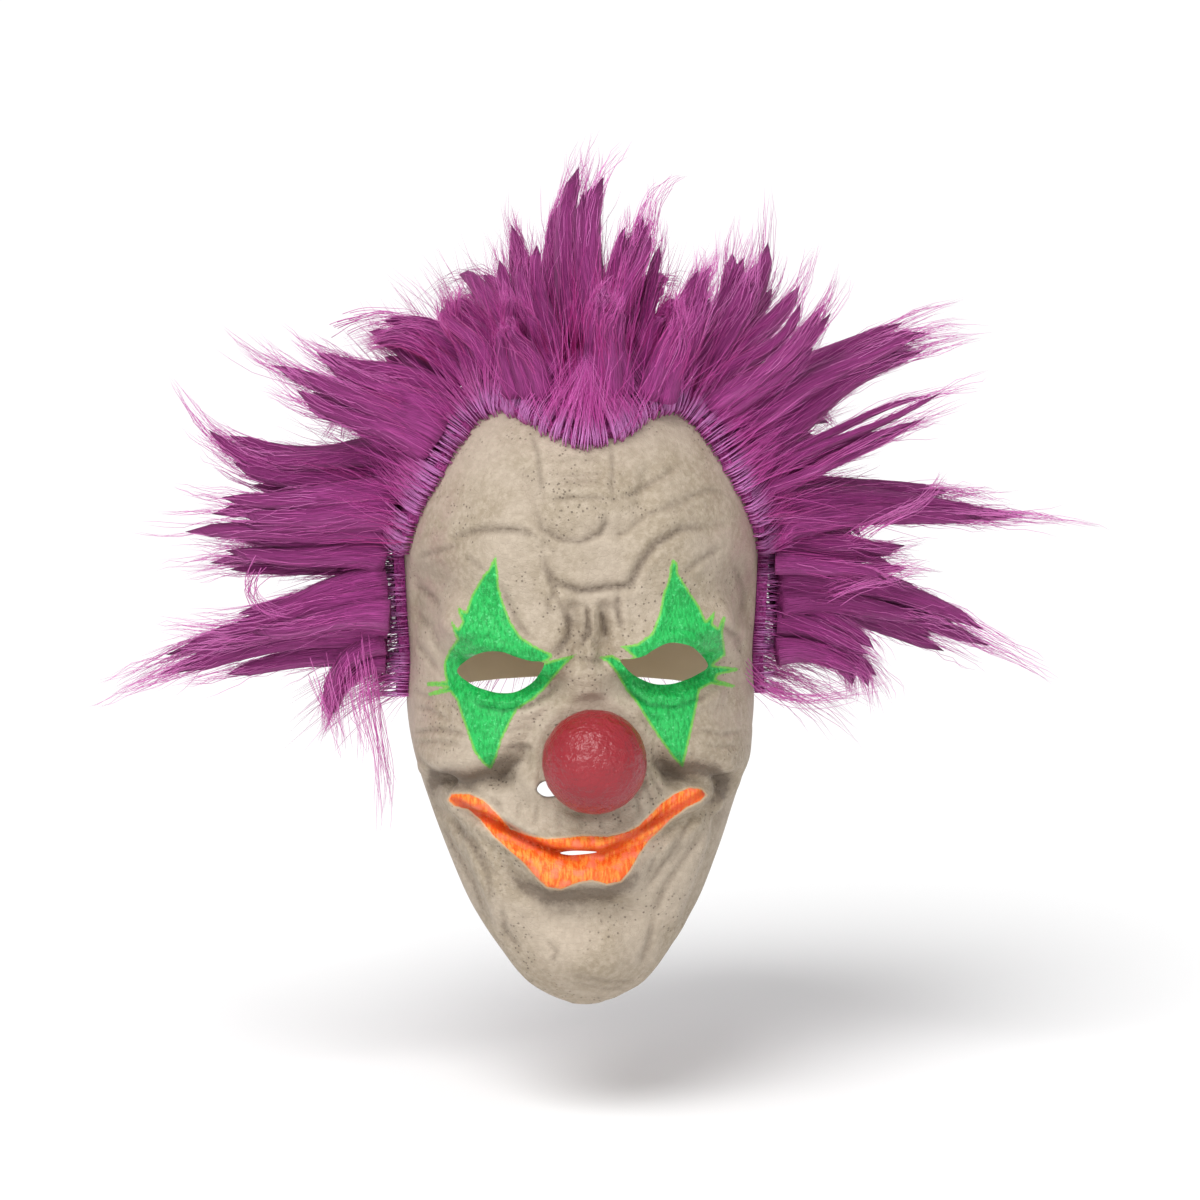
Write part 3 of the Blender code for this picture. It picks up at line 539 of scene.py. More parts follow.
def head_points(turn, level):
    """Outer face of the plain latex: turn in degrees round the head, level 0 at the crown, 2 at the chin."""
    dome = np.clip(level, 0, 1) * math.pi / 2
    size = np.sin(dome)
    down = np.clip(level - 1, 0, 1)
    half_width = HALF_WIDTH * smooth_rows(SECTIONS, down, 1) * size
    front = FACE_DEPTH * smooth_rows(SECTIONS, down, 2) * size
    edge = FACE_DEPTH * smooth_rows(SECTIONS, down, 3) * size
    back = HEAD_BACK * smooth_rows(SECTIONS, down, 4) * size
    height = CROWN_Z - CROWN_DROP * (1 - np.cos(dome)) - (MASK_HEIGHT - CROWN_DROP) * down
    sine = np.sin(np.radians(turn))
    cosine = np.cos(np.radians(turn))
    across = np.sign(sine) * np.abs(sine) ** SECTION_POWER * half_width
    reach = np.abs(cosine) ** SECTION_POWER
    forward = edge + (front - edge) * reach
    behind = (back + edge) * reach - edge
    return np.stack([across, np.where(cosine > 0, -forward, behind), height], axis=-1)


def unit(vectors):
    """Vectors brought to a length of 1."""
    return vectors / np.maximum(np.linalg.norm(vectors, axis=-1, keepdims=True), 1e-12)


def head_normals(turn, level):
    """Outward direction of the plain latex."""
    turn_step = 0.5
    level_step = 0.005
    level = np.maximum(level, level_step * 2)
    along = head_points(turn + turn_step, level) - head_points(turn - turn_step, level)
    down = head_points(turn, np.minimum(level + level_step, 2)) - head_points(turn, level - level_step)
    return unit(np.cross(down, along))


def length_along(line):
    """How far along a line of straight runs each of its points lies."""
    return np.concatenate([[0.0], np.cumsum(np.linalg.norm(np.diff(line, axis=0), axis=1))])


def way_distance(points, way):
    """Distance of flat points to a way of straight runs, and how far along it each is, from 0 to 1."""
    way = np.array(way, dtype=float)
    lengths = np.linalg.norm(np.diff(way, axis=0), axis=1)
    before = np.concatenate([[0.0], np.cumsum(lengths)])
    best = np.full(len(points), 1e9)
    place = np.zeros(len(points))
    for number, length in enumerate(lengths):
        run = way[number + 1] - way[number]
        share = np.clip((points - way[number]) @ run / max(length * length, 1e-12), 0, 1)
        distance = np.linalg.norm(points - way[number] - share[:, None] * run, axis=1)
        nearer = distance < best
        best = np.where(nearer, distance, best)
        place = np.where(nearer, before[number] + share * length, place)
    return best, place / max(before[-1], 1e-12)


def inside_outline(points, outline):
    """Signed distance of flat points to a closed outline, above 0 inside it."""
    closed = list(outline) + [outline[0]]
    distance, _ = way_distance(points, closed)
    corners = np.array(closed, dtype=float)
    inside = np.zeros(len(points), dtype=bool)
    for (x0, y0), (x1, y1) in zip(corners[:-1], corners[1:]):
        crosses = (y0 > points[:, 1]) != (y1 > points[:, 1])
        if y1 != y0:
            at = x0 + (points[:, 1] - y0) * (x1 - x0) / (y1 - y0)
            inside ^= crosses & (points[:, 0] < at)
    return np.where(inside, distance, -distance)


def view_axes():
    """The photograph's right, up and towards-camera directions."""
    sine, cosine = math.sin(VIEW_AZIMUTH), math.cos(VIEW_AZIMUTH)
    rise, level = math.sin(VIEW_ELEVATION), math.cos(VIEW_ELEVATION)
    right = np.array([cosine, sine, 0.0])
    up = np.array([-sine * rise, cosine * rise, level])
    towards = np.array([sine * level, -cosine * level, rise])
    return right, up, towards


def camera_place():
    """Where the camera stands, and the point that the middle of its frame shows."""
    right, up, towards = view_axes()
    middle = FRAME_PIXELS / 2
    target = np.array([0.0, 0.0, CROWN_Z]) + right * (middle - AXIS_PIXEL[0]) * PIXEL
    target = target - up * (middle - AXIS_PIXEL[1]) * PIXEL
    return target + towards * VIEW_DISTANCE, target


def photo_pixels(points):
    """Where points show in the photograph, in its pixels."""
    right, up, towards = view_axes()
    place, target = camera_place()
    offset = points - place
    depth = -(offset @ towards)
    scale = VIEW_DISTANCE / depth / PIXEL
    middle = FRAME_PIXELS / 2
    return np.stack([middle + offset @ right * scale, middle - offset @ up * scale], axis=-1)


def photo_point(pixel, forward):
    """The point that shows at a pixel, at a distance towards the camera from the crown's axis."""
    right, up, towards = view_axes()
    place, target = camera_place()
    middle = FRAME_PIXELS / 2
    flat = target + right * (pixel[0] - middle) * PIXEL - up * (pixel[1] - middle) * PIXEL
    share = (VIEW_DISTANCE - forward) / VIEW_DISTANCE
    return place + (flat - place) * share


def inside_fur(points):
    """How far places lie behind the fur's front edge, below 0 on the bare face."""
    across = np.abs(points[:, 0]) / HALF_WIDTH
    behind_side = points[:, 1] + FUR_SIDE_FORWARD
    line = CROWN_Z - smooth_rows(HAIRLINE, across, 1) * MASK_HEIGHT
    above = np.maximum(points[:, 2] - line, behind_side)
    return np.where(across > HAIRLINE[-1][0], behind_side, above)


def form_rises(points):
    """Height of the main moulded forms, as a share of the half width."""
    across = points[:, 0] / HALF_WIDTH
    squash = MASK_HEIGHT / HALF_WIDTH
    down = (CROWN_Z - points[:, 2]) / HALF_WIDTH
    total = np.zeros(len(points))
    for _, paired, x0, z0, x1, z1, width, rise in FORMS:
        here = np.stack([np.abs(across) if paired else across, down], axis=-1)
        distance, _ = way_distance(here, [(x0, z0 * squash), (x1 + 1e-6, z1 * squash)])
        total += rise * np.exp(-(distance / width) ** 2)
    return total


def wrinkle_depths(pixels):
    """Depth of the drawn creases at places in the photograph, in metres, and of the rolls as less than 0."""
    total = np.zeros(len(pixels))
    for width, depth, way in WRINKLES:
        distance, place = way_distance(pixels, way)
        taper = np.clip(np.minimum(place, 1 - place) * 5, 0.25, 1)
        if depth > 0:
            total += depth * CREASE_DEPTH * taper * np.exp(-(distance / width) ** 1.3)
            total -= depth * CREASE_LIP * taper * np.exp(-((distance - width * 2.3) / width / 1.2) ** 2)
        else:
            total += depth * ROLL_RISE * taper * np.exp(-(distance / width) ** 2)
    return total


def skin_noise(points, size):
    """Smooth noise from -1 to 1 at points, with lumps of a size in metres."""
    scaled = points / size
    return np.array([noise.noise(Vector(point)) for point in scaled])


def face_points(turn, level):
    """Outer face of the moulded latex with its wrinkles."""
    plain = head_points(turn, level)
    normals = head_normals(turn, level)
    bare = smooth_step((-inside_fur(plain) - BARE_RIM) / FUR_RIM_DEPTH)
    to_side = smooth_step((FORM_END_TURN - np.abs(turn)) / FORM_FADE_TURN)
    to_chin = smooth_step((2 - level) / CHIN_FADE)
    fade = bare * to_side * to_chin
    moulded = plain + normals * (HALF_WIDTH * form_rises(plain) * fade)[:, None]
    pixels = photo_pixels(moulded)
    lips = np.clip(inside_outline(pixels, OUTLINES["orange_mouth"]), -4, 4)
    fine = LIP_RISE * smooth_step((lips + 1) / 4) - wrinkle_depths(pixels)
    fine += LUMP_RISE * skin_noise(moulded, LUMP_SIZE) + GRAIN_RISE * skin_noise(moulded + 1, GRAIN_SIZE)
    to_ear = smooth_step((WRINKLE_END_TURN - np.abs(turn)) / WRINKLE_FADE_TURN)
    moulded = moulded + normals * (fine * bare * to_ear)[:, None]
    distance = np.hypot(moulded[:, 0] - NOSE_ACROSS, moulded[:, 2] - (CROWN_Z - NOSE_DOWN))
    flat = smooth_step((NOSE_SEAT_RADIUS * NOSE_SEAT_FLAT - distance) / (NOSE_SEAT_RADIUS * NOSE_SEAT_BLEND))
    flat = np.where(np.abs(turn) < NOSE_SEAT_TURN, flat, 0)
    moulded[:, 1] += (-NOSE_SEAT_FORWARD - moulded[:, 1]) * flat
    return moulded


def level_of(depth_below_crown):
    """The level at a depth below the crown."""
    if depth_below_crown <= CROWN_DROP:
        return math.acos(1 - depth_below_crown / CROWN_DROP) * 2 / math.pi
    return 1 + (depth_below_crown - CROWN_DROP) / (MASK_HEIGHT - CROWN_DROP)


def linear(colour):
    """A named colour of COLOURS, kept as sRGB hex, as linear red, green, blue and alpha."""
    channels = []
    for start in (1, 3, 5):
        value = int(COLOURS[colour][start:start + 2], 16) / 255
        channels.append(value / 12.92 if value <= 0.04045 else ((value + 0.055) / 1.055) ** 2.4)
    return (*channels, 1.0)


class Paint:
    """A new material with short ways to add its nodes."""

    def __init__(self, name):
        self.material = bpy.data.materials.new(name)
        self.material.use_nodes = True
        self.tree = self.material.node_tree
        self.where = self.add("ShaderNodeTexCoord", "Object", {})

    def feed(self, node, inputs):
        """Sets a node's inputs to values or to other nodes' outputs."""
        for name, value in inputs.items():
            if isinstance(value, (int, float, tuple)):
                node.inputs[name].default_value = value
            else:
                self.tree.links.new(value, node.inputs[name])

    def add(self, kind, output, inputs, settings=None):
        """Adds a node with its settings and inputs, and gives one of its outputs."""
        made = self.tree.nodes.new(kind)
        for name, value in (settings or {}).items():
            setattr(made, name, value)
        self.feed(made, inputs)
        return made.outputs[output]

    def finish(self, inputs):
        """Feeds the surface's own inputs and gives the finished material."""
        self.feed(self.tree.nodes["Principled BSDF"], inputs)
        return self.material

    def attribute(self, label):
        """A number that the mesh stores for each of its points."""
        return self.add("ShaderNodeAttribute", "Fac", {}, {"attribute_name": label})

    def noise(self, where, scale, detail, roughness=0.5):
        """Cloudy noise read at places that are scaled alike in all directions."""
        inputs = {"Vector": where, "Scale": scale, "Detail": detail, "Roughness": roughness}
        return self.add("ShaderNodeTexNoise", "Fac", inputs)

    def cloud(self, size_mm, detail, roughness=0.5):
        """Cloudy noise with lumps of a size in millimetres."""
        return self.noise(self.where, 1000 / size_mm, detail, roughness)

    def cells(self, where, scale, feature):
        """A distance that is read from cells spread at random."""
        inputs = {"Vector": where, "Scale": scale, "Randomness": 1.0}
        return self.add("ShaderNodeTexVoronoi", "Distance", inputs, {"feature": feature})

    def stretched(self, where, scale, rotation=(0.0, 0.0, 0.0)):
        """Places turned and scaled by an amount in each direction, for streaks."""
        inputs = {"Vector": where, "Rotation": rotation, "Scale": scale}
        return self.add("ShaderNodeMapping", "Vector", inputs, {"vector_type": "POINT"})

    def ramp(self, source, low, high, start=0.0, end=1.0, kind="SMOOTHSTEP"):
        """A share that goes from start to end while its source goes from low to high."""
        inputs = {"Value": source, "From Min": low, "From Max": high, "To Min": start, "To Max": end}
        return self.add("ShaderNodeMapRange", "Result", inputs, {"interpolation_type": kind})

    def maths(self, operation, first, second):
        """Two numbers joined by a sum, a product or the like."""
        return self.add("ShaderNodeMath", 0, {0: first, 1: second}, {"operation": operation})

    def blend(self, share, first, second):
        """A colour between two others."""
        return self.add("ShaderNodeMix", 2, {0: share, 6: first, 7: second}, {"data_type": "RGBA"})

    def bump(self, height, strength, distance):
        """The direction of a surface with relief that is too fine for the mesh."""
        inputs = {"Height": height, "Strength": strength, "Distance": distance}
        return self.add("ShaderNodeBump", "Normal", inputs)


def read_points(piece):
    """A mesh's points as an array."""
    flat = np.empty(len(piece.data.vertices) * 3, dtype=np.float32)
    piece.data.vertices.foreach_get("co", flat)
    return flat.reshape(-1, 3).astype(float)


def write_points(piece, points):
    """Places a mesh's points."""
    piece.data.vertices.foreach_set("co", np.ascontiguousarray(points, dtype=np.float32).ravel())
    piece.data.update()


def write_attribute(piece, name, values):
    """Stores one number for each point of a mesh."""
    attribute = piece.data.attributes.new(name, "FLOAT", "POINT")
    attribute.data.foreach_set("value", np.ascontiguousarray(values, dtype=np.float32))


def select_only(piece):
    """Selects one piece and makes it the active one."""
    bpy.ops.object.select_all(action="DESELECT")
    piece.select_set(True)
    bpy.context.view_layer.objects.active = piece


def apply_modifiers(piece):
    """Applies all modifiers of a piece in their order."""
    select_only(piece)
    for modifier in list(piece.modifiers):
        bpy.ops.object.modifier_apply(modifier=modifier.name)


def add_wall(piece, thickness, offset):
    """A modifier that gives a sheet its thickness, inward at an offset of -1 and outward at 1."""
    wall = piece.modifiers.new("wall", "SOLIDIFY")
    wall.thickness = thickness
    wall.offset = offset
    return wall


def add_grid(name, turns, levels):
    """A flat grid that is to be wrapped round the head, with the turn and the level of each of its points."""
    columns, rows = len(turns) - 1, len(levels) - 1
    bpy.ops.mesh.primitive_grid_add(x_subdivisions=columns, y_subdivisions=rows, size=2)
    piece = bpy.context.active_object
    piece.name = name
    grid = read_points(piece)
    column = np.rint((grid[:, 0] + 1) / 2 * columns).astype(int)
    row = np.rint((1 - grid[:, 1]) / 2 * rows).astype(int)
    return piece, turns[column], levels[row]


def delete_points(piece, chosen):
    """Deletes the chosen points of a mesh, joins points that meet and turns its faces outward."""
    edit_piece(piece)
    bpy.ops.mesh.select_all(action="DESELECT")
    close_edit()
    piece.data.vertices.foreach_set("select", chosen)
    bpy.ops.object.mode_set(mode="EDIT")
    bpy.ops.mesh.select_mode(type="VERT")
    bpy.ops.mesh.delete(type="VERT")
    bpy.ops.mesh.select_all(action="SELECT")
    bpy.ops.mesh.remove_doubles(threshold=JOIN_DISTANCE)
    bpy.ops.mesh.normals_make_consistent(inside=False)
    close_edit()


def edit_piece(piece):
    """Opens a piece in edit mode with all of it selected."""
    select_only(piece)
    bpy.ops.object.mode_set(mode="EDIT")
    bpy.ops.mesh.select_all(action="SELECT")


def close_edit():
    """Back to object mode."""
    bpy.ops.object.mode_set(mode="OBJECT")


def hold_piece(piece, node):
    """Ties a finished piece to the frame in place of a solid."""
    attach(piece, BODY)
    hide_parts(node)


def even_outline(outline, count):
    """Points at even steps along a smooth closed line through an outline's points."""
    corners = np.array(outline, dtype=float)
    before = np.roll(corners, 1, axis=0)
    after = np.roll(corners, -1, axis=0)
    beyond = np.roll(corners, -2, axis=0)
    points = []
    for t in np.linspace(0, 1, 12, endpoint=False):
        curve = 2 * corners + (after - before) * t + (2 * before - 5 * corners + 4 * after - beyond) * t ** 2
        points.append((curve + (3 * corners - before - 3 * after + beyond) * t ** 3) / 2)
    line = np.stack(points, axis=1).reshape(-1, 2)
    closed = np.vstack([line, line[:1]])
    along = length_along(closed)
    steps = np.linspace(0, along[-1], count, endpoint=False)
    return np.stack([np.interp(steps, along, closed[:, axis]) for axis in (0, 1)], axis=-1)


def opening_cutter(outline, count, near, far):
    """A closed solid along the camera's rays through an outline in the photograph."""
    line = even_outline(outline, count)
    bpy.ops.mesh.primitive_cylinder_add(vertices=count, end_fill_type="NGON")
    cutter = bpy.context.active_object
    points = read_points(cutter)
    for number, pixel in enumerate(line):
        points[2 * number] = photo_point(pixel, far)
        points[2 * number + 1] = photo_point(pixel, near)
    write_points(cutter, points)
    edit_piece(cutter)
    bpy.ops.mesh.normals_make_consistent(inside=False)
    close_edit()
    return cutter


def cut_openings(piece):
    """Cuts both eye holes, the mouth slit and the nostrils through the latex."""
    cutters = [opening_cutter(OUTLINES[name], count, CUT_NEAR, far) for name, count, far in OPENINGS]
    select_only(cutters[0])
    for cutter in cutters:
        cutter.select_set(True)
    bpy.ops.object.join()
    cut = piece.modifiers.new("openings", "BOOLEAN")
    cut.operation = "DIFFERENCE"
    cut.solver = "EXACT"
    cut.object = cutters[0]
    apply_modifiers(piece)
    bpy.data.objects.remove(cutters[0], do_unlink=True)


def model_latex(front_columns, face_rows):
    """The latex as a grid wrapped round the head, with its wall still to be applied."""
    place = np.linspace(-1, 1, front_columns + 1)
    front = 90 * (0.75 * place + 0.25 * place ** 3)
    behind = np.linspace(90, 180, BACK_COLUMNS + 1)[1:]
    levels = np.concatenate([
        np.linspace(0, BARE_LEVEL, CROWN_ROWS, endpoint=False),
        np.linspace(BARE_LEVEL, 1, DOME_ROWS, endpoint=False),
        np.linspace(1, 2, face_rows + 1),
    ])
    turns = np.concatenate([-behind[::-1], front, behind])
    piece, turn, level = add_grid("latex_face_moulded", turns, levels)
    write_points(piece, face_points(turn, level))
    delete_points(piece, (np.abs(turn) > 90.01) & (level > level_of(EAR_LEVEL) + 1e-6))
    piece.vertex_groups.new(name="inner")
    wall = add_wall(piece, LATEX_WALL, -1)
    wall.use_quality_normals = True
    wall.material_offset = 1
    wall.material_offset_rim = 1
    wall.shell_vertex_group = "inner"
    thin = piece.modifiers.new("coarser_inside", "DECIMATE")
    thin.ratio = INSIDE_FACES_KEPT
    thin.vertex_group = "inner"
    thin.vertex_group_factor = 100
    return piece


def paint_attributes(piece):
    """Stores where the make-up, the painted shade in the creases and hollows, and the blush lie, for the
    latex's material.
    """
    points = read_points(piece)
    pixels = photo_pixels(points)
    millimetre = PIXEL * 1000

    def inside_either(*names):
        return np.max([inside_outline(pixels, OUTLINES[name]) for name in names], axis=0) * millimetre

    slit, _ = way_distance(pixels, MOUTH_LINE)
    depths = np.clip(wrinkle_depths(pixels) * 1000, -1, 4)
    front = smooth_step((-points[:, 1] - 0.01) / 0.03)
    side = smooth_step((np.abs(points[:, 0]) / HALF_WIDTH - 0.62) / 0.35)
    high = smooth_step((points[:, 2] + 0.20) / 0.08)
    shares = {
        "green": np.clip(inside_either("green_left", "green_right"), -PAINT_REACH, PAINT_REACH),
        "orange": np.clip(inside_either("orange_mouth"), -PAINT_REACH, PAINT_REACH),
        # Painted shade: deeper in deeper creases and in the moulded hollows, on the front only
        "crease_shade": front * (np.maximum(depths, 0) * 0.42 + np.maximum(-form_rises(points), 0) * 5),
        "blush": side * high,
        # Distance from where the lips meet, for painted shade in that crease
        "mouth_line": np.clip(slit * millimetre, 0, 20),
        # Painted shade in and round the nostrils
        "nostril_shade": np.clip(inside_either("nostril_left", "nostril_right"), -PAINT_REACH, PAINT_REACH),
    }
    for name, values in shares.items():
        write_attribute(piece, name, values)


def sponged_skin(paint, crease_shade):
    """The skin's colour in broad patches of three tones with a fine mottle, painted shade in its creases and
    hollows, and its pores.
    """
    ramp, blend, cloud = paint.ramp, paint.blend, paint.cloud
    skin = blend(ramp(cloud(34, 4), 0.35, 0.65), linear("skin"), linear("skin_dark"))
    skin = blend(ramp(cloud(3.2, 5, 0.65), 0.38, 0.68, 0.0, 0.55), skin, linear("skin_pale"))
    flush = paint.maths("MULTIPLY", paint.attribute("blush"), ramp(cloud(18, 3), 0.4, 0.65, 0.0, 0.55))
    skin = blend(flush, skin, linear("blush"))
    broken = ramp(cloud(2.4, 4, 0.7), 0.3, 0.7, 0.55, 1.15)
    # Painted shade darkens the skin in the creases and hollows
    skin = blend(paint.maths("MINIMUM", paint.maths("MULTIPLY", crease_shade, broken), 0.72), skin, linear("crease_shade"))
    # Pores are dark pits of 0.6 to 1 mm, drawn in patches
    pits = ramp(paint.cells(paint.where, 1000 / 2.6, "F1"), 0.13, 0.25, 1.0, 0.0)
    pore = paint.maths("MULTIPLY", pits, ramp(cloud(26, 3), 0.46, 0.62))
    return blend(paint.maths("MULTIPLY", pore, 0.62), skin, linear("pore")), pore


def green_greasepaint(paint, crease_shade, strokes):
    """Green make-up round the eyes: brushed strokes over a yellower edge, darkened by painted shade in the
    creases.
    """
    ramp, blend = paint.ramp, paint.blend
    green = blend(ramp(strokes, 0.36, 0.62), linear("green"), linear("green_light"))
    green = blend(ramp(paint.cloud(2.2, 4, 0.65), 0.55, 0.72, 0.0, 0.7), green, linear("green_mint"))
    green = blend(ramp(paint.attribute("green"), 0.4, 1.6, 0.6, 0.0), green, linear("green_yellow"))
    # Painted shade darkens the green in the creases
    return blend(paint.maths("MULTIPLY", ramp(crease_shade, 0.15, 0.7), 0.55), green, linear("green_crease_shade"))


def orange_greasepaint(paint):
    """Orange make-up on the lips, with yellower streaks, pinker patches of painted highlight and painted
    shade where the lips meet.
    """
    ramp, blend = paint.ramp, paint.blend
    streaks = paint.noise(paint.stretched(paint.where, (800.0, 200.0, 160.0)), 1.0, 3.0, 0.55)
    orange = blend(ramp(streaks, 0.40, 0.62), linear("orange"), linear("orange_yellow"))
    # Painted highlights: pinker patches at random over the orange
    orange = blend(ramp(paint.cloud(6, 3), 0.5, 0.66, 0.0, 0.75), orange, linear("orange_pink_highlight"))
    # Painted shade: darker orange within about 3 mm of where the lips meet
    return blend(ramp(paint.attribute("mouth_line"), 0.6, 3.2, 0.8, 0.0), orange, linear("mouth_line"))


def latex_paint(name, settings):
    """Moulded latex under sponged matt paint: dull, pored, with painted shade in its creases and hollows, and
    brushed make-up that is a little glossier.
    """
    paint = Paint(name)
    ramp, maths, blend, cloud = paint.ramp, paint.maths, paint.blend, paint.cloud
    crease_shade = paint.attribute("crease_shade")
    skin, pore = sponged_skin(paint, crease_shade)
    fray = maths("MULTIPLY", maths("SUBTRACT", cloud(1.6, 5, 0.7), 0.5), 2.2)
    brushed = paint.stretched(paint.where, (900.0, 300.0, 300.0), (0.0, 0.5, 0.0))
    strokes = paint.noise(brushed, 1.0, 4.0, 0.6)
    green_mask = ramp(maths("ADD", paint.attribute("green"), fray), -0.25, 0.3)
    colour = blend(green_mask, skin, green_greasepaint(paint, crease_shade, strokes))
    orange_edge = maths("ADD", paint.attribute("orange"), maths("MULTIPLY", fray, 0.55))
    orange_mask = ramp(orange_edge, -0.2, 0.25)
    colour = blend(ramp(paint.attribute("orange"), -1.3, -0.3, 0.0, 0.55), colour, linear("orange_rim"))
    colour = blend(orange_mask, colour, orange_greasepaint(paint))
    # Painted shade: near-black in and just round the nostrils
    colour = blend(ramp(paint.attribute("nostril_shade"), -1.8, 0.2, 0.0, 0.85), colour, linear("nostril_shade"))
    painted = maths("MAXIMUM", green_mask, orange_mask)

    # Relief too fine for the mesh: pores, skin grain of about 1 mm and short cracks
    cracks = paint.cells(paint.stretched(paint.where, (260.0, 260.0, 430.0)), 1.0, "DISTANCE_TO_EDGE")
    height = maths("ADD", maths("MULTIPLY", cloud(1.1, 5, 0.6), 0.8), maths("MULTIPLY", pore, -1.3))
    height = maths("ADD", height, maths("MULTIPLY", ramp(cracks, 0.0, 0.09, -0.5, 0.0), 0.6))
    height = maths("ADD", height, maths("MULTIPLY", strokes, maths("MULTIPLY", painted, 0.9)))
    return paint.finish({
        "Base Color": colour,
        "Roughness": ramp(painted, 0.0, 1.0, settings.skin_roughness, settings.paint_roughness),
        "Specular IOR Level": 0.35,
        "Normal": paint.bump(height, 0.55, 0.0007),
    })


def bare_latex(name):
    """The unpainted inside of moulded latex: pale cream, dull and slightly cloudy."""
    paint = Paint(name)
    colour = paint.blend(paint.noise(paint.where, 60.0, 4.0), linear("bare_latex"), linear("bare_latex_dark"))
    return paint.finish({"Base Color": colour, "Roughness": 0.65})


def gloss_red_paint(name, settings):
    """Moulded latex ball under glossy dark red paint, with a soft orange-peel of small lumps."""
    paint = Paint(name)
    lumps = paint.noise(paint.where, 330.0, 2.5, 0.55)
    return paint.finish({
        "Base Color": paint.blend(paint.noise(paint.where, 70.0, 3.0), linear("red"), linear("red_light")),
        "Roughness": settings.roughness,
        "Normal": paint.bump(lumps, 0.9, 0.0016),
    })


def fur_pool(count, random):
    """Places spread evenly over the hood where the fur grows: points, outward directions and fur depths."""
    turn = random.uniform(-180, 180, count * 4)
    level = random.uniform(0.02, level_of(FUR_DROP), count * 4)
    step = 0.01
    along = head_points(turn + step * 50, level) - head_points(turn - step * 50, level)
    down = head_points(turn, level + step) - head_points(turn, level - step)
    area = np.linalg.norm(np.cross(down, along), axis=1)
    points = head_points(turn, level)
    depth = inside_fur(points)
    kept = (depth > 0) & (random.uniform(0, 1, len(turn)) < area / area.max())
    return points[kept][:count], head_normals(turn[kept], level[kept])[:count], depth[kept][:count]


def hood_root(turn, depth):
    """A point and direction on the hood, from an angle in front view and a share of the face's depth."""
    forward = depth * FACE_DEPTH
    limit = SECTIONS[0][2] * FACE_DEPTH if forward > 0 else HEAD_BACK
    size = math.sqrt(1 - (forward / limit) ** 2)
    sine = math.sin(math.radians(turn))
    cosine = math.cos(math.radians(turn))
    middle = CROWN_Z - CROWN_DROP
    height = CROWN_DROP if cosine > 0 else HALF_WIDTH * HOOD_SIDE_SHARE
    point = np.array([HALF_WIDTH * sine * size, -forward, middle + height * cosine * size])
    if cosine < 0:
        point[0] = math.copysign(HALF_WIDTH, sine) * size
        cosine = 0
    return point, unit(np.array([sine / HALF_WIDTH, -forward / limit ** 2, cosine / height]))


def lock_guides():
    """The middle line of each lock as four points of a cubic, with its thickness, bluntness and density."""
    guides = []
    middle = np.array([0, 0, CROWN_Z - CROWN_DROP])
    for _, turn, depth, tip_x, tip_depth, tip_z, bend_x, bend_z, thick, blunt, dense in LOCKS:
        root, out = hood_root(turn, depth)
        tip = middle + HAIR_REACH * np.array([tip_x, -tip_depth, tip_z])
        bend = HAIR_REACH * np.array([bend_x, 0, bend_z])
        guides.append(lock_guide(root, out, tip, bend, TUFT_THICKNESS * thick) + (blunt, dense))
    for down, count, middle_turn, swing, length in BACK_ROWS:
        for place in range(count):
            turn = np.array([middle_turn + swing * (place / (count - 1) - 0.5)])
            level = np.array([down / 90])
            root = head_points(turn, level)[0]
            out = head_normals(turn, level)[0]
            tip = root + HAIR_REACH * length * (out + np.array([0, 0, -BACK_DROOP]))
            bend = HAIR_REACH * np.array([0, 0, BACK_BEND])
            guides.append(lock_guide(root, out, tip, bend, TUFT_THICKNESS) + (BACK_BLUNT, BACK_DENSE))
    return guides


def lock_guide(root, out, tip, bend, thickness):
    """The four points of a lock's cubic and its thickness."""
    start = root + out * FUR_RIM_DEPTH
    shoulder = root + out * (FUR_DEPTH + thickness * SHOULDER_SHARE)
    return start, shoulder, (shoulder + tip) / 2 + bend, tip, thickness


def cubic(guides, place):
    """Points of a cubic with four guide points, at shares of its way."""
    start, first, second, end = guides
    late = 1 - place
    early_half = start * late ** 3 + 3 * first * late ** 2 * place
    return early_half + 3 * second * late * place ** 2 + end * place ** 3


def guide_frames(points, rings):
    """A cubic's points, directions and two crosswise directions that turn with it."""
    place = np.linspace(0, 1, rings)[:, None]
    line = cubic(points, place)
    ahead = unit(np.gradient(line, axis=0))
    across = np.empty_like(line)
    side = np.cross(ahead[0], [0.0, 1.0, 0.0])
    for ring in range(rings):
        side = side - ahead[ring] * (side @ ahead[ring])
        side = side / np.linalg.norm(side)
        across[ring] = side
    return line, ahead, across, np.cross(ahead, across)


def read_along(places, rows):
    """Rows of a guide read at shares of its length."""
    steps = np.linspace(0, 1, len(rows))
    return np.stack([np.interp(places, steps, rows[:, axis]) for axis in range(3)], axis=-1)


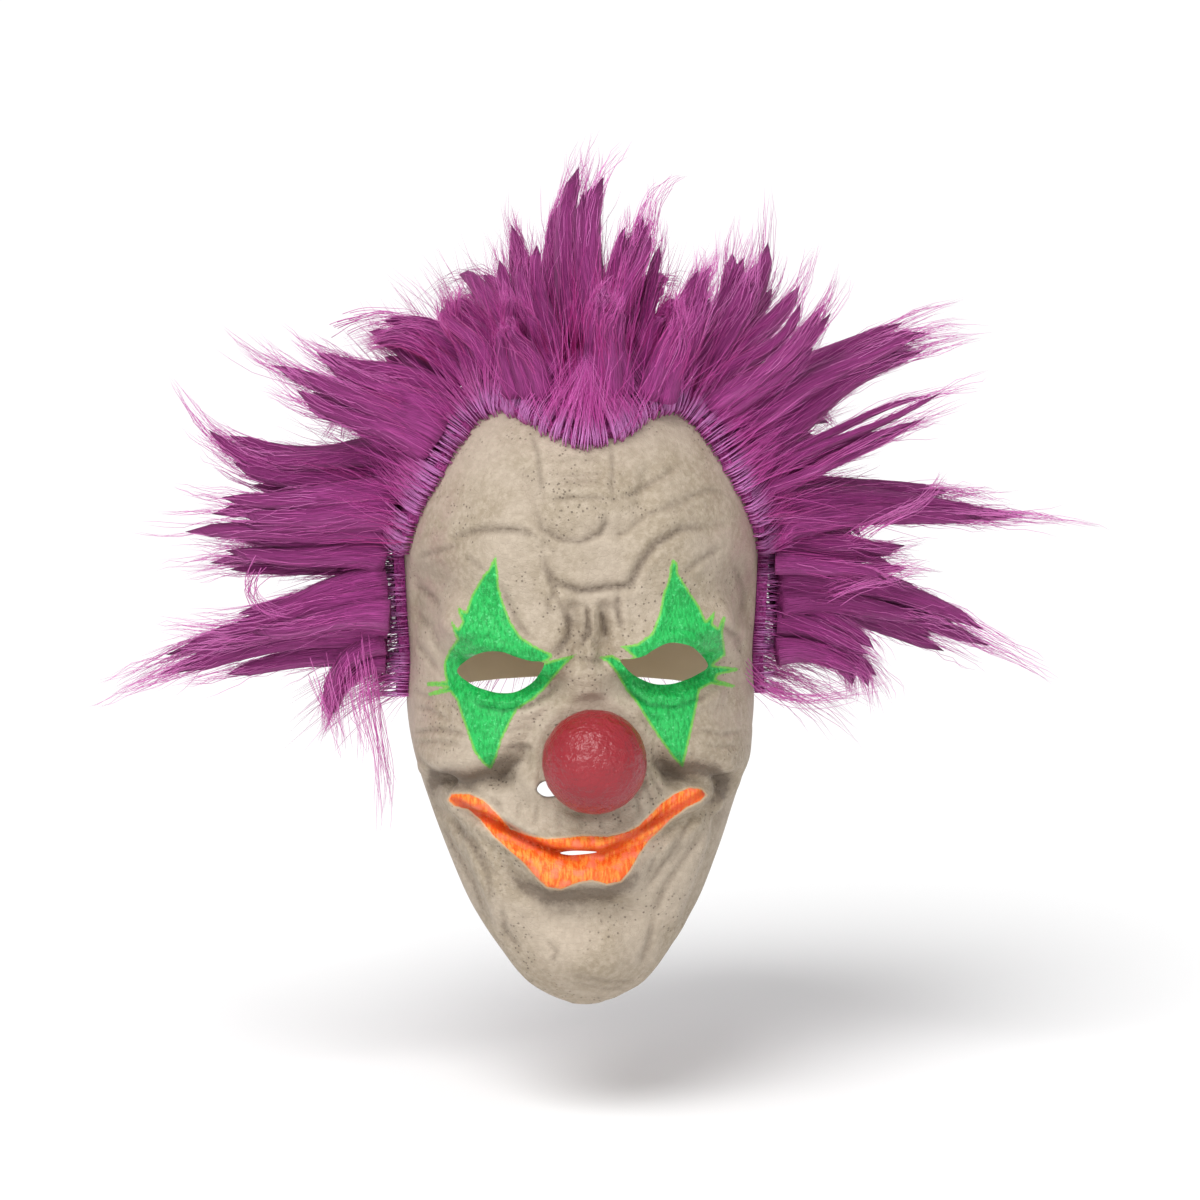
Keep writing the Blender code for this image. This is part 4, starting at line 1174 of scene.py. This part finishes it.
def tube_mesh(name, paths, radii, sides):
    """One mesh of closed tapered tubes, each along its own path and ending in a point."""
    count, rings, _ = paths.shape
    ahead = unit(np.gradient(paths, axis=1))
    guess = np.broadcast_to(np.array([0.31, 0.45, 0.84]), (count, 3))
    across = unit(guess - ahead[:, 0] * np.sum(guess * ahead[:, 0], axis=1, keepdims=True))
    corners = np.empty((count, rings - 1, sides, 3))
    angles = np.linspace(0, 2 * math.pi, sides, endpoint=False)
    for ring in range(rings - 1):
        across = unit(across - ahead[:, ring] * np.sum(across * ahead[:, ring], axis=1, keepdims=True))
        upward = np.cross(ahead[:, ring], across)
        for side, angle in enumerate(angles):
            offset = across * math.cos(angle) + upward * math.sin(angle)
            corners[:, ring, side] = paths[:, ring] + offset * radii[:, ring, None]
    per_tube = (rings - 1) * sides + 1
    points = np.concatenate([corners.reshape(count, -1, 3), paths[:, -1:]], axis=1).reshape(-1, 3)
    loops = []
    for ring in range(rings - 2):
        for side in range(sides):
            beside = (side + 1) % sides
            low, high = ring * sides, (ring + 1) * sides
            loops += [low + side, low + beside, high + beside, high + side]
    quads = (rings - 2) * sides
    for side in range(sides):
        last = (rings - 2) * sides
        loops += [last + side, last + (side + 1) % sides, per_tube - 1]
    loops += list(range(sides))[::-1]
    totals = np.array([4] * quads + [3] * sides + [sides])
    all_loops = (np.array(loops)[None, :] + per_tube * np.arange(count)[:, None]).ravel()
    all_totals = np.tile(totals, count)
    mesh = bpy.data.meshes.new(name)
    mesh.vertices.add(len(points))
    mesh.vertices.foreach_set("co", np.ascontiguousarray(points, dtype=np.float32).ravel())
    mesh.loops.add(len(all_loops))
    mesh.loops.foreach_set("vertex_index", all_loops.astype(np.int32))
    mesh.polygons.add(len(all_totals))
    mesh.polygons.foreach_set("loop_start", (np.cumsum(all_totals) - all_totals).astype(np.int32))
    mesh.polygons.foreach_set("use_smooth", np.ones(len(all_totals), dtype=bool))
    mesh.update(calc_edges=True)
    piece = bpy.data.objects.new(name, mesh)
    bpy.context.scene.collection.objects.link(piece)
    return piece


def per_point(values, rings, sides):
    """A value for each tube and ring spread over the tube's points."""
    count = len(values)
    spread = np.repeat(values[:, :rings - 1], sides, axis=1)
    return np.concatenate([spread, values[:, -1:]], axis=1).reshape(count * ((rings - 1) * sides + 1))


def fibre_directions(piece, paths, radii, sides):
    """Stores how far round and along its tube each point lies, in millimetres, for the fibres' streaks."""
    count, rings, _ = paths.shape
    steps = np.linalg.norm(np.diff(paths, axis=1), axis=2)
    along = np.concatenate([np.zeros((count, 1)), np.cumsum(steps, axis=1)], axis=1) * 1000
    write_attribute(piece, "fibre_along", per_point(along + 40 * np.arange(count)[:, None], rings, sides))
    angles = np.linspace(0, 2 * math.pi, sides, endpoint=False)
    round_tube = np.tile(angles, rings - 1)[None, :] * radii.max(axis=1)[:, None] * 1000
    values = np.concatenate([round_tube, np.zeros((count, 1))], axis=1).ravel()
    write_attribute(piece, "fibre_round", values)


def crimson_shares(roots):
    """How much crimson dye shows at roots."""
    pixels = photo_pixels(roots)
    front = smooth_step((0.03 - roots[:, 1]) / 0.04)
    total = np.zeros(len(roots))
    for x, y, radius, strength in CRIMSON_SPOTS:
        distance = np.hypot(pixels[:, 0] - x, pixels[:, 1] - y)
        total = np.maximum(total, strength * np.exp(-(distance / radius) ** 2))
    return total * front


def lock_wisps(guide, wisps, random):
    """Splits a lock into wisps: each one's place in the lock's section, its drift, its reach and its tint."""
    thickness, blunt, dense = guide[4:]
    angle = random.uniform(0, 2 * math.pi, wisps)
    spread = np.sqrt(np.linspace(0.02, 1, wisps)) * thickness * WISP_SPREAD
    drift = random.normal(0, thickness * (0.06 + 0.20 * blunt), (2, wisps))
    drift[:, 0] = 0
    reach = random.uniform(*WISP_REACH, wisps)
    reach[0] = 1.03
    phase = random.uniform(0, 2 * math.pi, (2, wisps))
    return {"a": spread * np.cos(angle), "b": spread * np.sin(angle), "drift": drift, "reach": reach,
            "phase": phase, "tint": random.normal(0, WISP_TINT, wisps)}


def wisp_points(guide, frames, wisps, number, places):
    """Points along wisps of a lock, at shares of each wisp's length, with the lock's crosswise directions."""
    blunt = guide[5]
    line, ahead, across, upward = frames
    within = np.clip(places * wisps["reach"][number][:, None], 0, 1.0)
    narrow = blunt + (1 - blunt) * (1 - within) ** 1.1
    wave = WISP_WAVE * within
    offsets = []
    for key, row in (("a", 0), ("b", 1)):
        phase = wisps["phase"][row][number][:, None]
        offset = wisps[key][number][:, None] * narrow + wisps["drift"][row][number][:, None] * within ** 2
        offsets.append(offset + wave * np.sin(2 * math.pi * 1.4 * within + phase))
    side, rise = read_along(within, across), read_along(within, upward)
    path = read_along(within, line) + offsets[0][..., None] * side + offsets[1][..., None] * rise
    beyond = np.maximum(places * wisps["reach"][number][:, None] - 1, 0) * HAIR_REACH * 0.6
    return path + beyond[..., None] * ahead[-1], side, rise


def wisp_radius(guide, places):
    """How thick a wisp is at shares of its length."""
    return guide[4] * WISP_THICKNESS * min(guide[6], 1.0) * np.clip(1 - places, 0, 1) ** 0.75


def lock_strands(guide, frames, wisps, count, rings, random):
    """Short strands that start inside a lock's wisps and run out along them, crinkled towards the tip."""
    number = random.integers(0, len(wisps["reach"]), count)
    span = np.linalg.norm(guide[3] - guide[0])
    length = random.uniform(*STRAND_LENGTH, count) / span
    first = random.uniform(0, 1, count) ** 0.9 * (1.02 - length)
    place = np.linspace(0, 1, rings)[None, :]
    places = first[:, None] + length[:, None] * place
    path, side, rise = wisp_points(guide, frames, wisps, number, places)
    angle = random.uniform(0, 2 * math.pi, count)[:, None] + random.normal(0, 0.5, count)[:, None] * place
    stray = np.abs(random.normal(0, STRAY_SPREAD, count)) * (0.5 + guide[5])
    astray = random.uniform(0, 1, count) < STRAY_SHARE
    stray = np.where(astray, random.uniform(*STRAY_REACH, count), stray)
    inner = wisp_radius(guide, places) * (0.72 + 0.42 * place)
    away = inner + stray[:, None] * place ** 1.4
    path = path + (away * np.cos(angle))[..., None] * side + (away * np.sin(angle))[..., None] * rise
    crinkle = 0.00022 + 0.0007 * np.clip(places - 0.25, 0, 1)
    path += random.normal(0, 1, path.shape) * (crinkle * np.minimum(place * 3, 1))[..., None]
    tint = random.normal(0.5, 0.17, count) + wisps["tint"][number]
    crimson = crimson_shares(path[:, 0]) * np.clip(1 - first * 2, 0, 1)
    return path, tint, crimson, first


def pile_strands(pool, count, rings, random):
    """Teased strands all over the hood, swept away from the face."""
    points, normals, depth = pool
    chosen = random.choice(len(points), size=count)
    roots, out = points[chosen], normals[chosen]
    away = roots - np.array([0, 0.02, CROWN_Z - CROWN_DROP])
    away[:, 1] = np.maximum(away[:, 1], -0.02) * 0.5
    away = unit(away)
    fuller = 0.7 + 0.3 * smooth_step(depth[chosen] / 0.02)
    length = random.uniform(*PILE_LENGTH, count) * fuller
    place = np.linspace(0, 1, rings)
    side = unit(np.cross(out, random.normal(0, 1, (count, 3))))
    bow = random.normal(0, 0.22, count)
    first = out * (length * 0.8)[:, None]
    sweep = (away * 0.8 + side * bow[:, None]) * length[:, None]
    path = roots[:, None, :] + first[:, None, :] * (place - 0.45 * place ** 2)[None, :, None]
    path = path + sweep[:, None, :] * (place ** 1.6)[None, :, None]
    path += random.normal(0, 0.0007, path.shape) * place[None, :, None]
    return path, random.normal(0.45, 0.2, count), crimson_shares(roots), np.zeros(count)


def rim_strands(pool, count, rings, random):
    """Strands along the hairline that roll over its edge before they sweep back over the pile."""
    points, normals, depth = pool
    edge = np.flatnonzero(depth < RIM_EDGE)
    chosen = random.choice(edge, size=count)
    roots, out = points[chosen], normals[chosen]
    step = 0.0005
    slope = np.stack([inside_fur(roots + step * axis) - inside_fur(roots - step * axis)
                      for axis in np.eye(3)], axis=-1) / (2 * step)
    back = unit(slope - out * np.sum(slope * out, axis=1, keepdims=True))
    away = unit(roots - np.array([0, 0.03, CROWN_Z - CROWN_DROP]))
    rise = random.uniform(*RIM_RISE, (count, 1))
    length = random.uniform(*RIM_LENGTH, (count, 1))
    start = roots - out * 0.0005
    over = start + out * rise * 1.15 - back * random.uniform(*RIM_OVERHANG, (count, 1))
    crest = start + out * rise * 1.55 + back * length * 0.35
    end = start + out * rise * 1.3 + back * length * 0.8 + away * length * 0.35
    end += random.normal(0, 0.0016, (count, 3))
    place = np.linspace(0, 1, rings)[None, :, None]
    path = cubic([points[:, None] for points in (start, over, crest, end)], place)
    path += random.normal(0, 0.00035, path.shape) * place
    return path, random.normal(0.6, 0.16, count), crimson_shares(roots) * 0.3, np.zeros(count)


def loose_strands(rings, random):
    """Thin strands that hang or loop free of the locks."""
    paths = []
    for forward, count, way in LOOSE_WAYS:
        corners = np.array([photo_point(pixel, forward) for pixel in way])
        along = length_along(corners)
        steps = np.linspace(0, along[-1], 40)
        line = np.stack([np.interp(steps, along, corners[:, axis]) for axis in range(3)], axis=-1)
        smooth = np.copy(line)
        for _ in range(40):
            smooth[1:-1] = (smooth[:-2] + smooth[1:-1] + smooth[2:]) / 3
        for _ in range(count):
            first, last = random.uniform(0, 0.25), random.uniform(0.7, 1)
            path = read_along(np.linspace(first, last, rings), smooth)
            place = np.linspace(0, 1, rings)[:, None]
            root_shift = random.normal(0, 0.0035, (1, 3)) * (1 - place * 0.6)
            path += root_shift + random.normal(0, 0.0018, (1, 3)) * place
            path += 0.0012 * np.sin(place * random.uniform(4, 14) + random.uniform(0, 6, (1, 3))) * place
            paths.append(path)
    count = len(paths)
    return np.array(paths), random.normal(0.5, 0.2, count), np.zeros(count), np.ones(count) * 0.5


def add_strands(name, parts, settings, painted_sheen):
    """One piece of many strands with the shares that its material reads."""
    paths, tint, crimson, first = [np.concatenate(column) for column in zip(*parts)]
    count, rings, _ = paths.shape
    place = np.linspace(0, 1, rings)[None, :]
    every = np.ones((count, 1))
    piece = tube_mesh(name, paths, settings.strand_width / 2 * (1 - 0.6 * place) * every, STRAND_SIDES)
    shares = {
        "tint": np.clip(tint, 0, 1)[:, None] * np.ones((1, rings)),
        "along": np.clip(first[:, None] + 0.3 * place, 0, 1),
        "crimson": crimson[:, None] * (1 - place) ** 0.7,
        # Painted sheen: a lilac band about a third of the way along each strand, as strong as the given share
        "painted_sheen": painted_sheen * np.exp(-((place - 0.30) / 0.16) ** 2) * every,
    }
    for label, values in shares.items():
        write_attribute(piece, label, per_point(values, rings, STRAND_SIDES))
    return piece


def model_cap():
    """The matted root of the pile: a closed shell over the hood behind the hairline."""
    turns = np.linspace(-180, 180, CAP_COLUMNS + 1)
    levels = np.linspace(0, level_of(FUR_DROP), CAP_ROWS + 1)
    piece, turn, level = add_grid("fur_matted_pile", turns, levels)
    points = head_points(turn, level) + head_normals(turn, level) * GLUE_GAP
    write_points(piece, points)
    delete_points(piece, inside_fur(points) < CAP_SET_BACK)
    add_wall(piece, FUR_RIM_DEPTH * CAP_DEPTH_SHARE, 1)
    apply_modifiers(piece)
    return piece


def fur_fibre(name, settings):
    """Teased long-pile acrylic fur: satin, in mixed magentas, paler to the tips, crimson at some roots, with
    a painted lilac sheen on the rolled rim.
    """
    paint = Paint(name)
    tint = paint.attribute("tint")
    colour = paint.blend(paint.ramp(tint, 0.1, 0.55, kind="LINEAR"), linear("fur_dark"), linear("fur"))
    colour = paint.blend(paint.ramp(tint, 0.5, 0.95, kind="LINEAR"), colour, linear("fur_pale"))
    to_tip = paint.ramp(paint.attribute("along"), 0.25, 1.0, 0.0, 0.55, "LINEAR")
    colour = paint.blend(to_tip, colour, linear("fur_tip"))
    colour = paint.blend(paint.attribute("crimson"), colour, linear("crimson"))
    # Painted sheen: lilac where the rim's strands roll over
    colour = paint.blend(paint.attribute("painted_sheen"), colour, linear("fur_painted_sheen"))
    return paint.finish({"Base Color": colour, "Roughness": settings.roughness, "Specular IOR Level": 0.7})


def fur_root(name, tubes):
    """The matted roots of acrylic fur: deep magenta, satin, streaked by fibres of half a millimetre."""
    paint = Paint(name)
    where, scale = paint.where, 900.0
    if tubes:
        inputs = {"X": paint.attribute("fibre_round"), "Y": paint.attribute("fibre_along")}
        where = paint.stretched(paint.add("ShaderNodeCombineXYZ", "Vector", inputs), (1.9, 0.055, 1.0))
        scale = 1.0
    sharp = paint.ramp(paint.noise(where, scale, 3.0, 0.65), 0.32, 0.68, kind="LINEAR")
    return paint.finish({
        "Base Color": paint.blend(sharp, linear("root"), linear("root_light")),
        "Roughness": 0.55,
        "Normal": paint.bump(sharp, 0.9, 0.0012),
    })


def make_wisps(guides, settings, share, random):
    """Paths and radii of the cores of every lock's wisps, and the strands of each lock."""
    everyone = np.arange(WISPS)
    places = np.broadcast_to(np.linspace(0, 1, CORE_RINGS) * CORE_SHARE, (WISPS, CORE_RINGS))
    paths, radii, strands = [], [], []
    for guide in guides:
        frames = guide_frames(guide[:4], GUIDE_RINGS)
        wisps = lock_wisps(guide, WISPS, random)
        paths.append(wisp_points(guide, frames, wisps, everyone, places)[0])
        radii.append(wisp_radius(guide, places))
        count = int(settings.lock_strands * guide[6] * share)
        if len(strands) >= len(LOCKS):
            count = count // 2
        strands.append(lock_strands(guide, frames, wisps, count, LOCK_RINGS, random))
    return np.concatenate(paths), np.concatenate(radii), strands


def make_fur(settings):
    """All pieces of the wig, tied to the frame in place of its solid."""
    random = np.random.default_rng(settings.seed)
    share = 1.0
    fibre = fur_fibre("acrylic_long_pile_fur", settings)
    matted = fur_root("acrylic_fur_matted_roots", False)
    wisp = fur_root("acrylic_fur_matted_wisps", True)

    cap = model_cap()
    cap.data.materials.append(matted)
    pool = fur_pool(POOL_PLACES, random)
    paths, radii, strands = make_wisps(lock_guides(), settings, share, random)
    core = tube_mesh("fur_wisp_cores", paths, radii, CORE_SIDES)
    core.data.materials.append(wisp)
    fibre_directions(core, paths, radii, CORE_SIDES)
    pile_count = int(settings.pile_strands * share)
    rim_count = int(settings.rim_strands * share)
    third = len(LOCKS) // 3
    groups = [
        # name, strands, painted sheen
        ("fur_locks_top", strands[:third], 0),
        ("fur_locks_right", strands[third:2 * third], 0),
        ("fur_locks_left", strands[2 * third:len(LOCKS)], 0),
        ("fur_locks_back", strands[len(LOCKS):], 0),
        ("fur_pile", [pile_strands(pool, pile_count, PILE_RINGS, random)], 0),
        # The rolled rim carries the painted lilac sheen
        ("fur_rolled_rim", [rim_strands(pool, rim_count, PILE_RINGS, random)], RIM_PAINTED_SHEEN),
        ("fur_loose_strands", [loose_strands(LOOSE_RINGS, random)], 0),
    ]
    pieces = [add_strands(name, parts, settings, painted_sheen) for name, parts, painted_sheen in groups]
    for piece in pieces:
        piece.data.materials.append(fibre)
    select_only(cap)
    bpy.ops.object.shade_smooth_by_angle(angle=math.radians(60))
    for piece in (*pieces, cap, core):
        hold_piece(piece, "fur_wig")


class ClownMaskLatexSettings(PropertyGroup):
    """Settings of the latex face."""
    skin_roughness: FloatProperty(
        name="Skin roughness", description="Roughness of the sponged matt paint", default=0.62, min=0, max=1)
    paint_roughness: FloatProperty(
        name="Make-up roughness", description="Roughness of the brushed make-up", default=0.42, min=0, max=1)
    front_columns: IntProperty(
        name="Front columns", description="Columns of the latex's grid across the face", default=200, min=30)
    face_rows: IntProperty(
        name="Face rows", description="Rows of the latex's grid from its widest level to the chin",
        default=208, min=30)


class ClownMaskNoseSettings(PropertyGroup):
    """Settings of the ball nose."""
    roughness: FloatProperty(
        name="Roughness", description="Roughness of the nose's paint", default=0.3, min=0, max=1)
    lump: FloatProperty(
        name="Lump height", description="Height of the soft lumps on the ball", default=0.0003, min=0,
        unit="LENGTH")


class ClownMaskFurSettings(PropertyGroup):
    """Settings of the fur wig."""
    strand_width: FloatProperty(
        name="Strand width", description="Width of a strand of fur at its root", default=0.00040, min=0.0001,
        unit="LENGTH")
    lock_strands: IntProperty(
        name="Strands a lock", description="Strands in a lock of usual density", default=430, min=10)
    pile_strands: IntProperty(
        name="Pile strands", description="Short strands over the hood", default=5200, min=10)
    rim_strands: IntProperty(
        name="Rim strands", description="Strands that roll over the hairline", default=3600, min=10)
    roughness: FloatProperty(
        name="Roughness", description="Roughness of the acrylic fibres", default=0.38, min=0, max=1)
    seed: IntProperty(name="Seed", description="Seed of the strands' spread", default=7, min=0)


class CLOWN_MASK_OT_latex(Operator):
    """Model the moulded latex face with its wrinkles, openings and make-up"""
    bl_idname = "clown_mask.latex"
    bl_label = "Latex face"

    def execute(self, context):
        settings = context.scene.clown_mask_latex
        piece = model_latex(settings.front_columns, settings.face_rows)
        piece.data.materials.append(latex_paint("moulded_latex_sponged_paint", settings))
        piece.data.materials.append(bare_latex("moulded_latex_unpainted"))
        apply_modifiers(piece)
        cut_openings(piece)
        paint_attributes(piece)
        bpy.ops.object.shade_smooth_by_angle(angle=math.radians(50))
        hold_piece(piece, "latex_face")
        return {"FINISHED"}


class CLOWN_MASK_OT_nose(Operator):
    """Model the hollow ball nose with its soft lumps"""
    bl_idname = "clown_mask.nose"
    bl_label = "Ball nose"

    def execute(self, context):
        settings = context.scene.clown_mask_nose
        seat = -NOSE_SEAT_FORWARD - GLUE_GAP
        centre = (NOSE_ACROSS, seat - NOSE_SEAT_SET_BACK, CROWN_Z - NOSE_DOWN)
        bpy.ops.mesh.primitive_uv_sphere_add(segments=112, ring_count=72, radius=1)
        piece = bpy.context.active_object
        piece.name = "nose_ball_painted"
        directions = unit(read_points(piece))
        swell = skin_noise(directions * NOSE_RADIUS + 2, NOSE_SWELL_SIZE)
        lumps = skin_noise(directions * NOSE_RADIUS, NOSE_LUMP_SIZE) + NOSE_SWELL_SHARE * swell
        radius = NOSE_RADIUS - settings.lump + settings.lump * lumps
        write_points(piece, directions * radius[:, None] + np.array(centre))
        edit_piece(piece)
        bpy.ops.mesh.bisect(plane_co=(0, seat, 0), plane_no=(0, 1, 0), clear_outer=True)
        close_edit()
        add_wall(piece, NOSE_WALL, -1).material_offset = 1
        piece.data.materials.append(gloss_red_paint("moulded_latex_gloss_red", settings))
        piece.data.materials.append(bare_latex("nose_latex_unpainted"))
        apply_modifiers(piece)
        bpy.ops.object.shade_smooth_by_angle(angle=math.radians(50))
        hold_piece(piece, "nose_ball")
        return {"FINISHED"}


class CLOWN_MASK_OT_fur(Operator):
    """Model the fur wig: the matted pile, the cores of its locks and the strands"""
    bl_idname = "clown_mask.fur"
    bl_label = "Fur wig"

    def execute(self, context):
        make_fur(context.scene.clown_mask_fur)
        return {"FINISHED"}


class CLOWN_MASK_OT_stage(Operator):
    """Set the pale floor, the soft studio lights and the camera"""
    bl_idname = "clown_mask.stage"
    bl_label = "Stage"

    def execute(self, context):
        make_stage()
        return {"FINISHED"}


def aim_item(name, data, place, way):
    """A light or a camera at a place, looking along a direction."""
    holder = bpy.data.objects.new(name, data)
    holder.location = place
    holder.rotation_euler = Vector(way).to_track_quat("-Z", "Y").to_euler()
    bpy.context.scene.collection.objects.link(holder)
    return holder


def make_stage():
    """A pale sweep under the mask, two softboxes in front, a top light and the camera."""
    bpy.ops.mesh.primitive_plane_add(size=FLOOR_SIZE, location=(0, 0, FLOOR_Z))
    floor = bpy.context.active_object
    floor.name = "pale_floor"
    paper = Paint("pale_matt_paper").finish({"Base Color": linear("paper"), "Roughness": 0.9})
    floor.data.materials.append(paper)

    world = bpy.data.worlds.new("soft_studio")
    world.use_nodes = True
    background = world.node_tree.nodes["Background"]
    background.inputs["Color"].default_value = linear("light")
    background.inputs["Strength"].default_value = WORLD_STRENGTH
    bpy.context.scene.world = world

    sun = bpy.data.lights.new("soft_top_light", "SUN")
    sun.energy = SUN_POWER
    sun.angle = SUN_SPREAD
    aim_item("soft_top_light", sun, (0, 0, 0), SUN_WAY)
    for name, place, size, power in SOFTBOXES:
        light = bpy.data.lights.new(name, "AREA")
        light.size = size
        light.energy = power
        aim_item(name, light, place, Vector(LIGHT_AIM) - Vector(place))

    place, target = camera_place()
    camera = bpy.data.cameras.new("camera")
    camera.lens = SENSOR * VIEW_DISTANCE / (FRAME_PIXELS * PIXEL)
    camera.sensor_width = SENSOR
    camera.clip_end = 100
    bpy.context.scene.camera = aim_item("camera", camera, place, target - place)
    bpy.context.scene.view_settings.view_transform = "Standard"


class CLOWN_MASK_PT_panel(Panel):
    """Lists the mask's pieces and their settings"""
    bl_label = "Clown Mask"
    bl_idname = "CLOWN_MASK_PT_panel"
    bl_space_type = "VIEW_3D"
    bl_region_type = "UI"
    bl_category = "Clown Mask"

    def draw(self, context):
        scene = context.scene
        for settings in (scene.clown_mask_latex, scene.clown_mask_nose, scene.clown_mask_fur):
            for name in settings.__annotations__:
                self.layout.prop(settings, name)
        for operator in OPERATORS:
            self.layout.operator(operator.bl_idname)


OPERATORS = (CLOWN_MASK_OT_stage, CLOWN_MASK_OT_latex, CLOWN_MASK_OT_nose, CLOWN_MASK_OT_fur)
SETTINGS = (ClownMaskLatexSettings, ClownMaskNoseSettings, ClownMaskFurSettings)
CLASSES = (*SETTINGS, *OPERATORS, CLOWN_MASK_PT_panel)


def register():
    """Makes the mask's settings, commands and panel known to Blender."""
    for made in CLASSES:
        bpy.utils.register_class(made)
    bpy.types.Scene.clown_mask_latex = PointerProperty(type=ClownMaskLatexSettings)
    bpy.types.Scene.clown_mask_nose = PointerProperty(type=ClownMaskNoseSettings)
    bpy.types.Scene.clown_mask_fur = PointerProperty(type=ClownMaskFurSettings)


def unregister():
    """Takes them out again."""
    del bpy.types.Scene.clown_mask_fur
    del bpy.types.Scene.clown_mask_nose
    del bpy.types.Scene.clown_mask_latex
    for made in reversed(CLASSES):
        bpy.utils.unregister_class(made)


def main():
    """Builds the whole scene."""
    register()
    bpy.ops.clown_mask.stage()
    bpy.ops.clown_mask.latex()
    bpy.ops.clown_mask.nose()
    bpy.ops.clown_mask.fur()


if __name__ == "__main__":
    main()
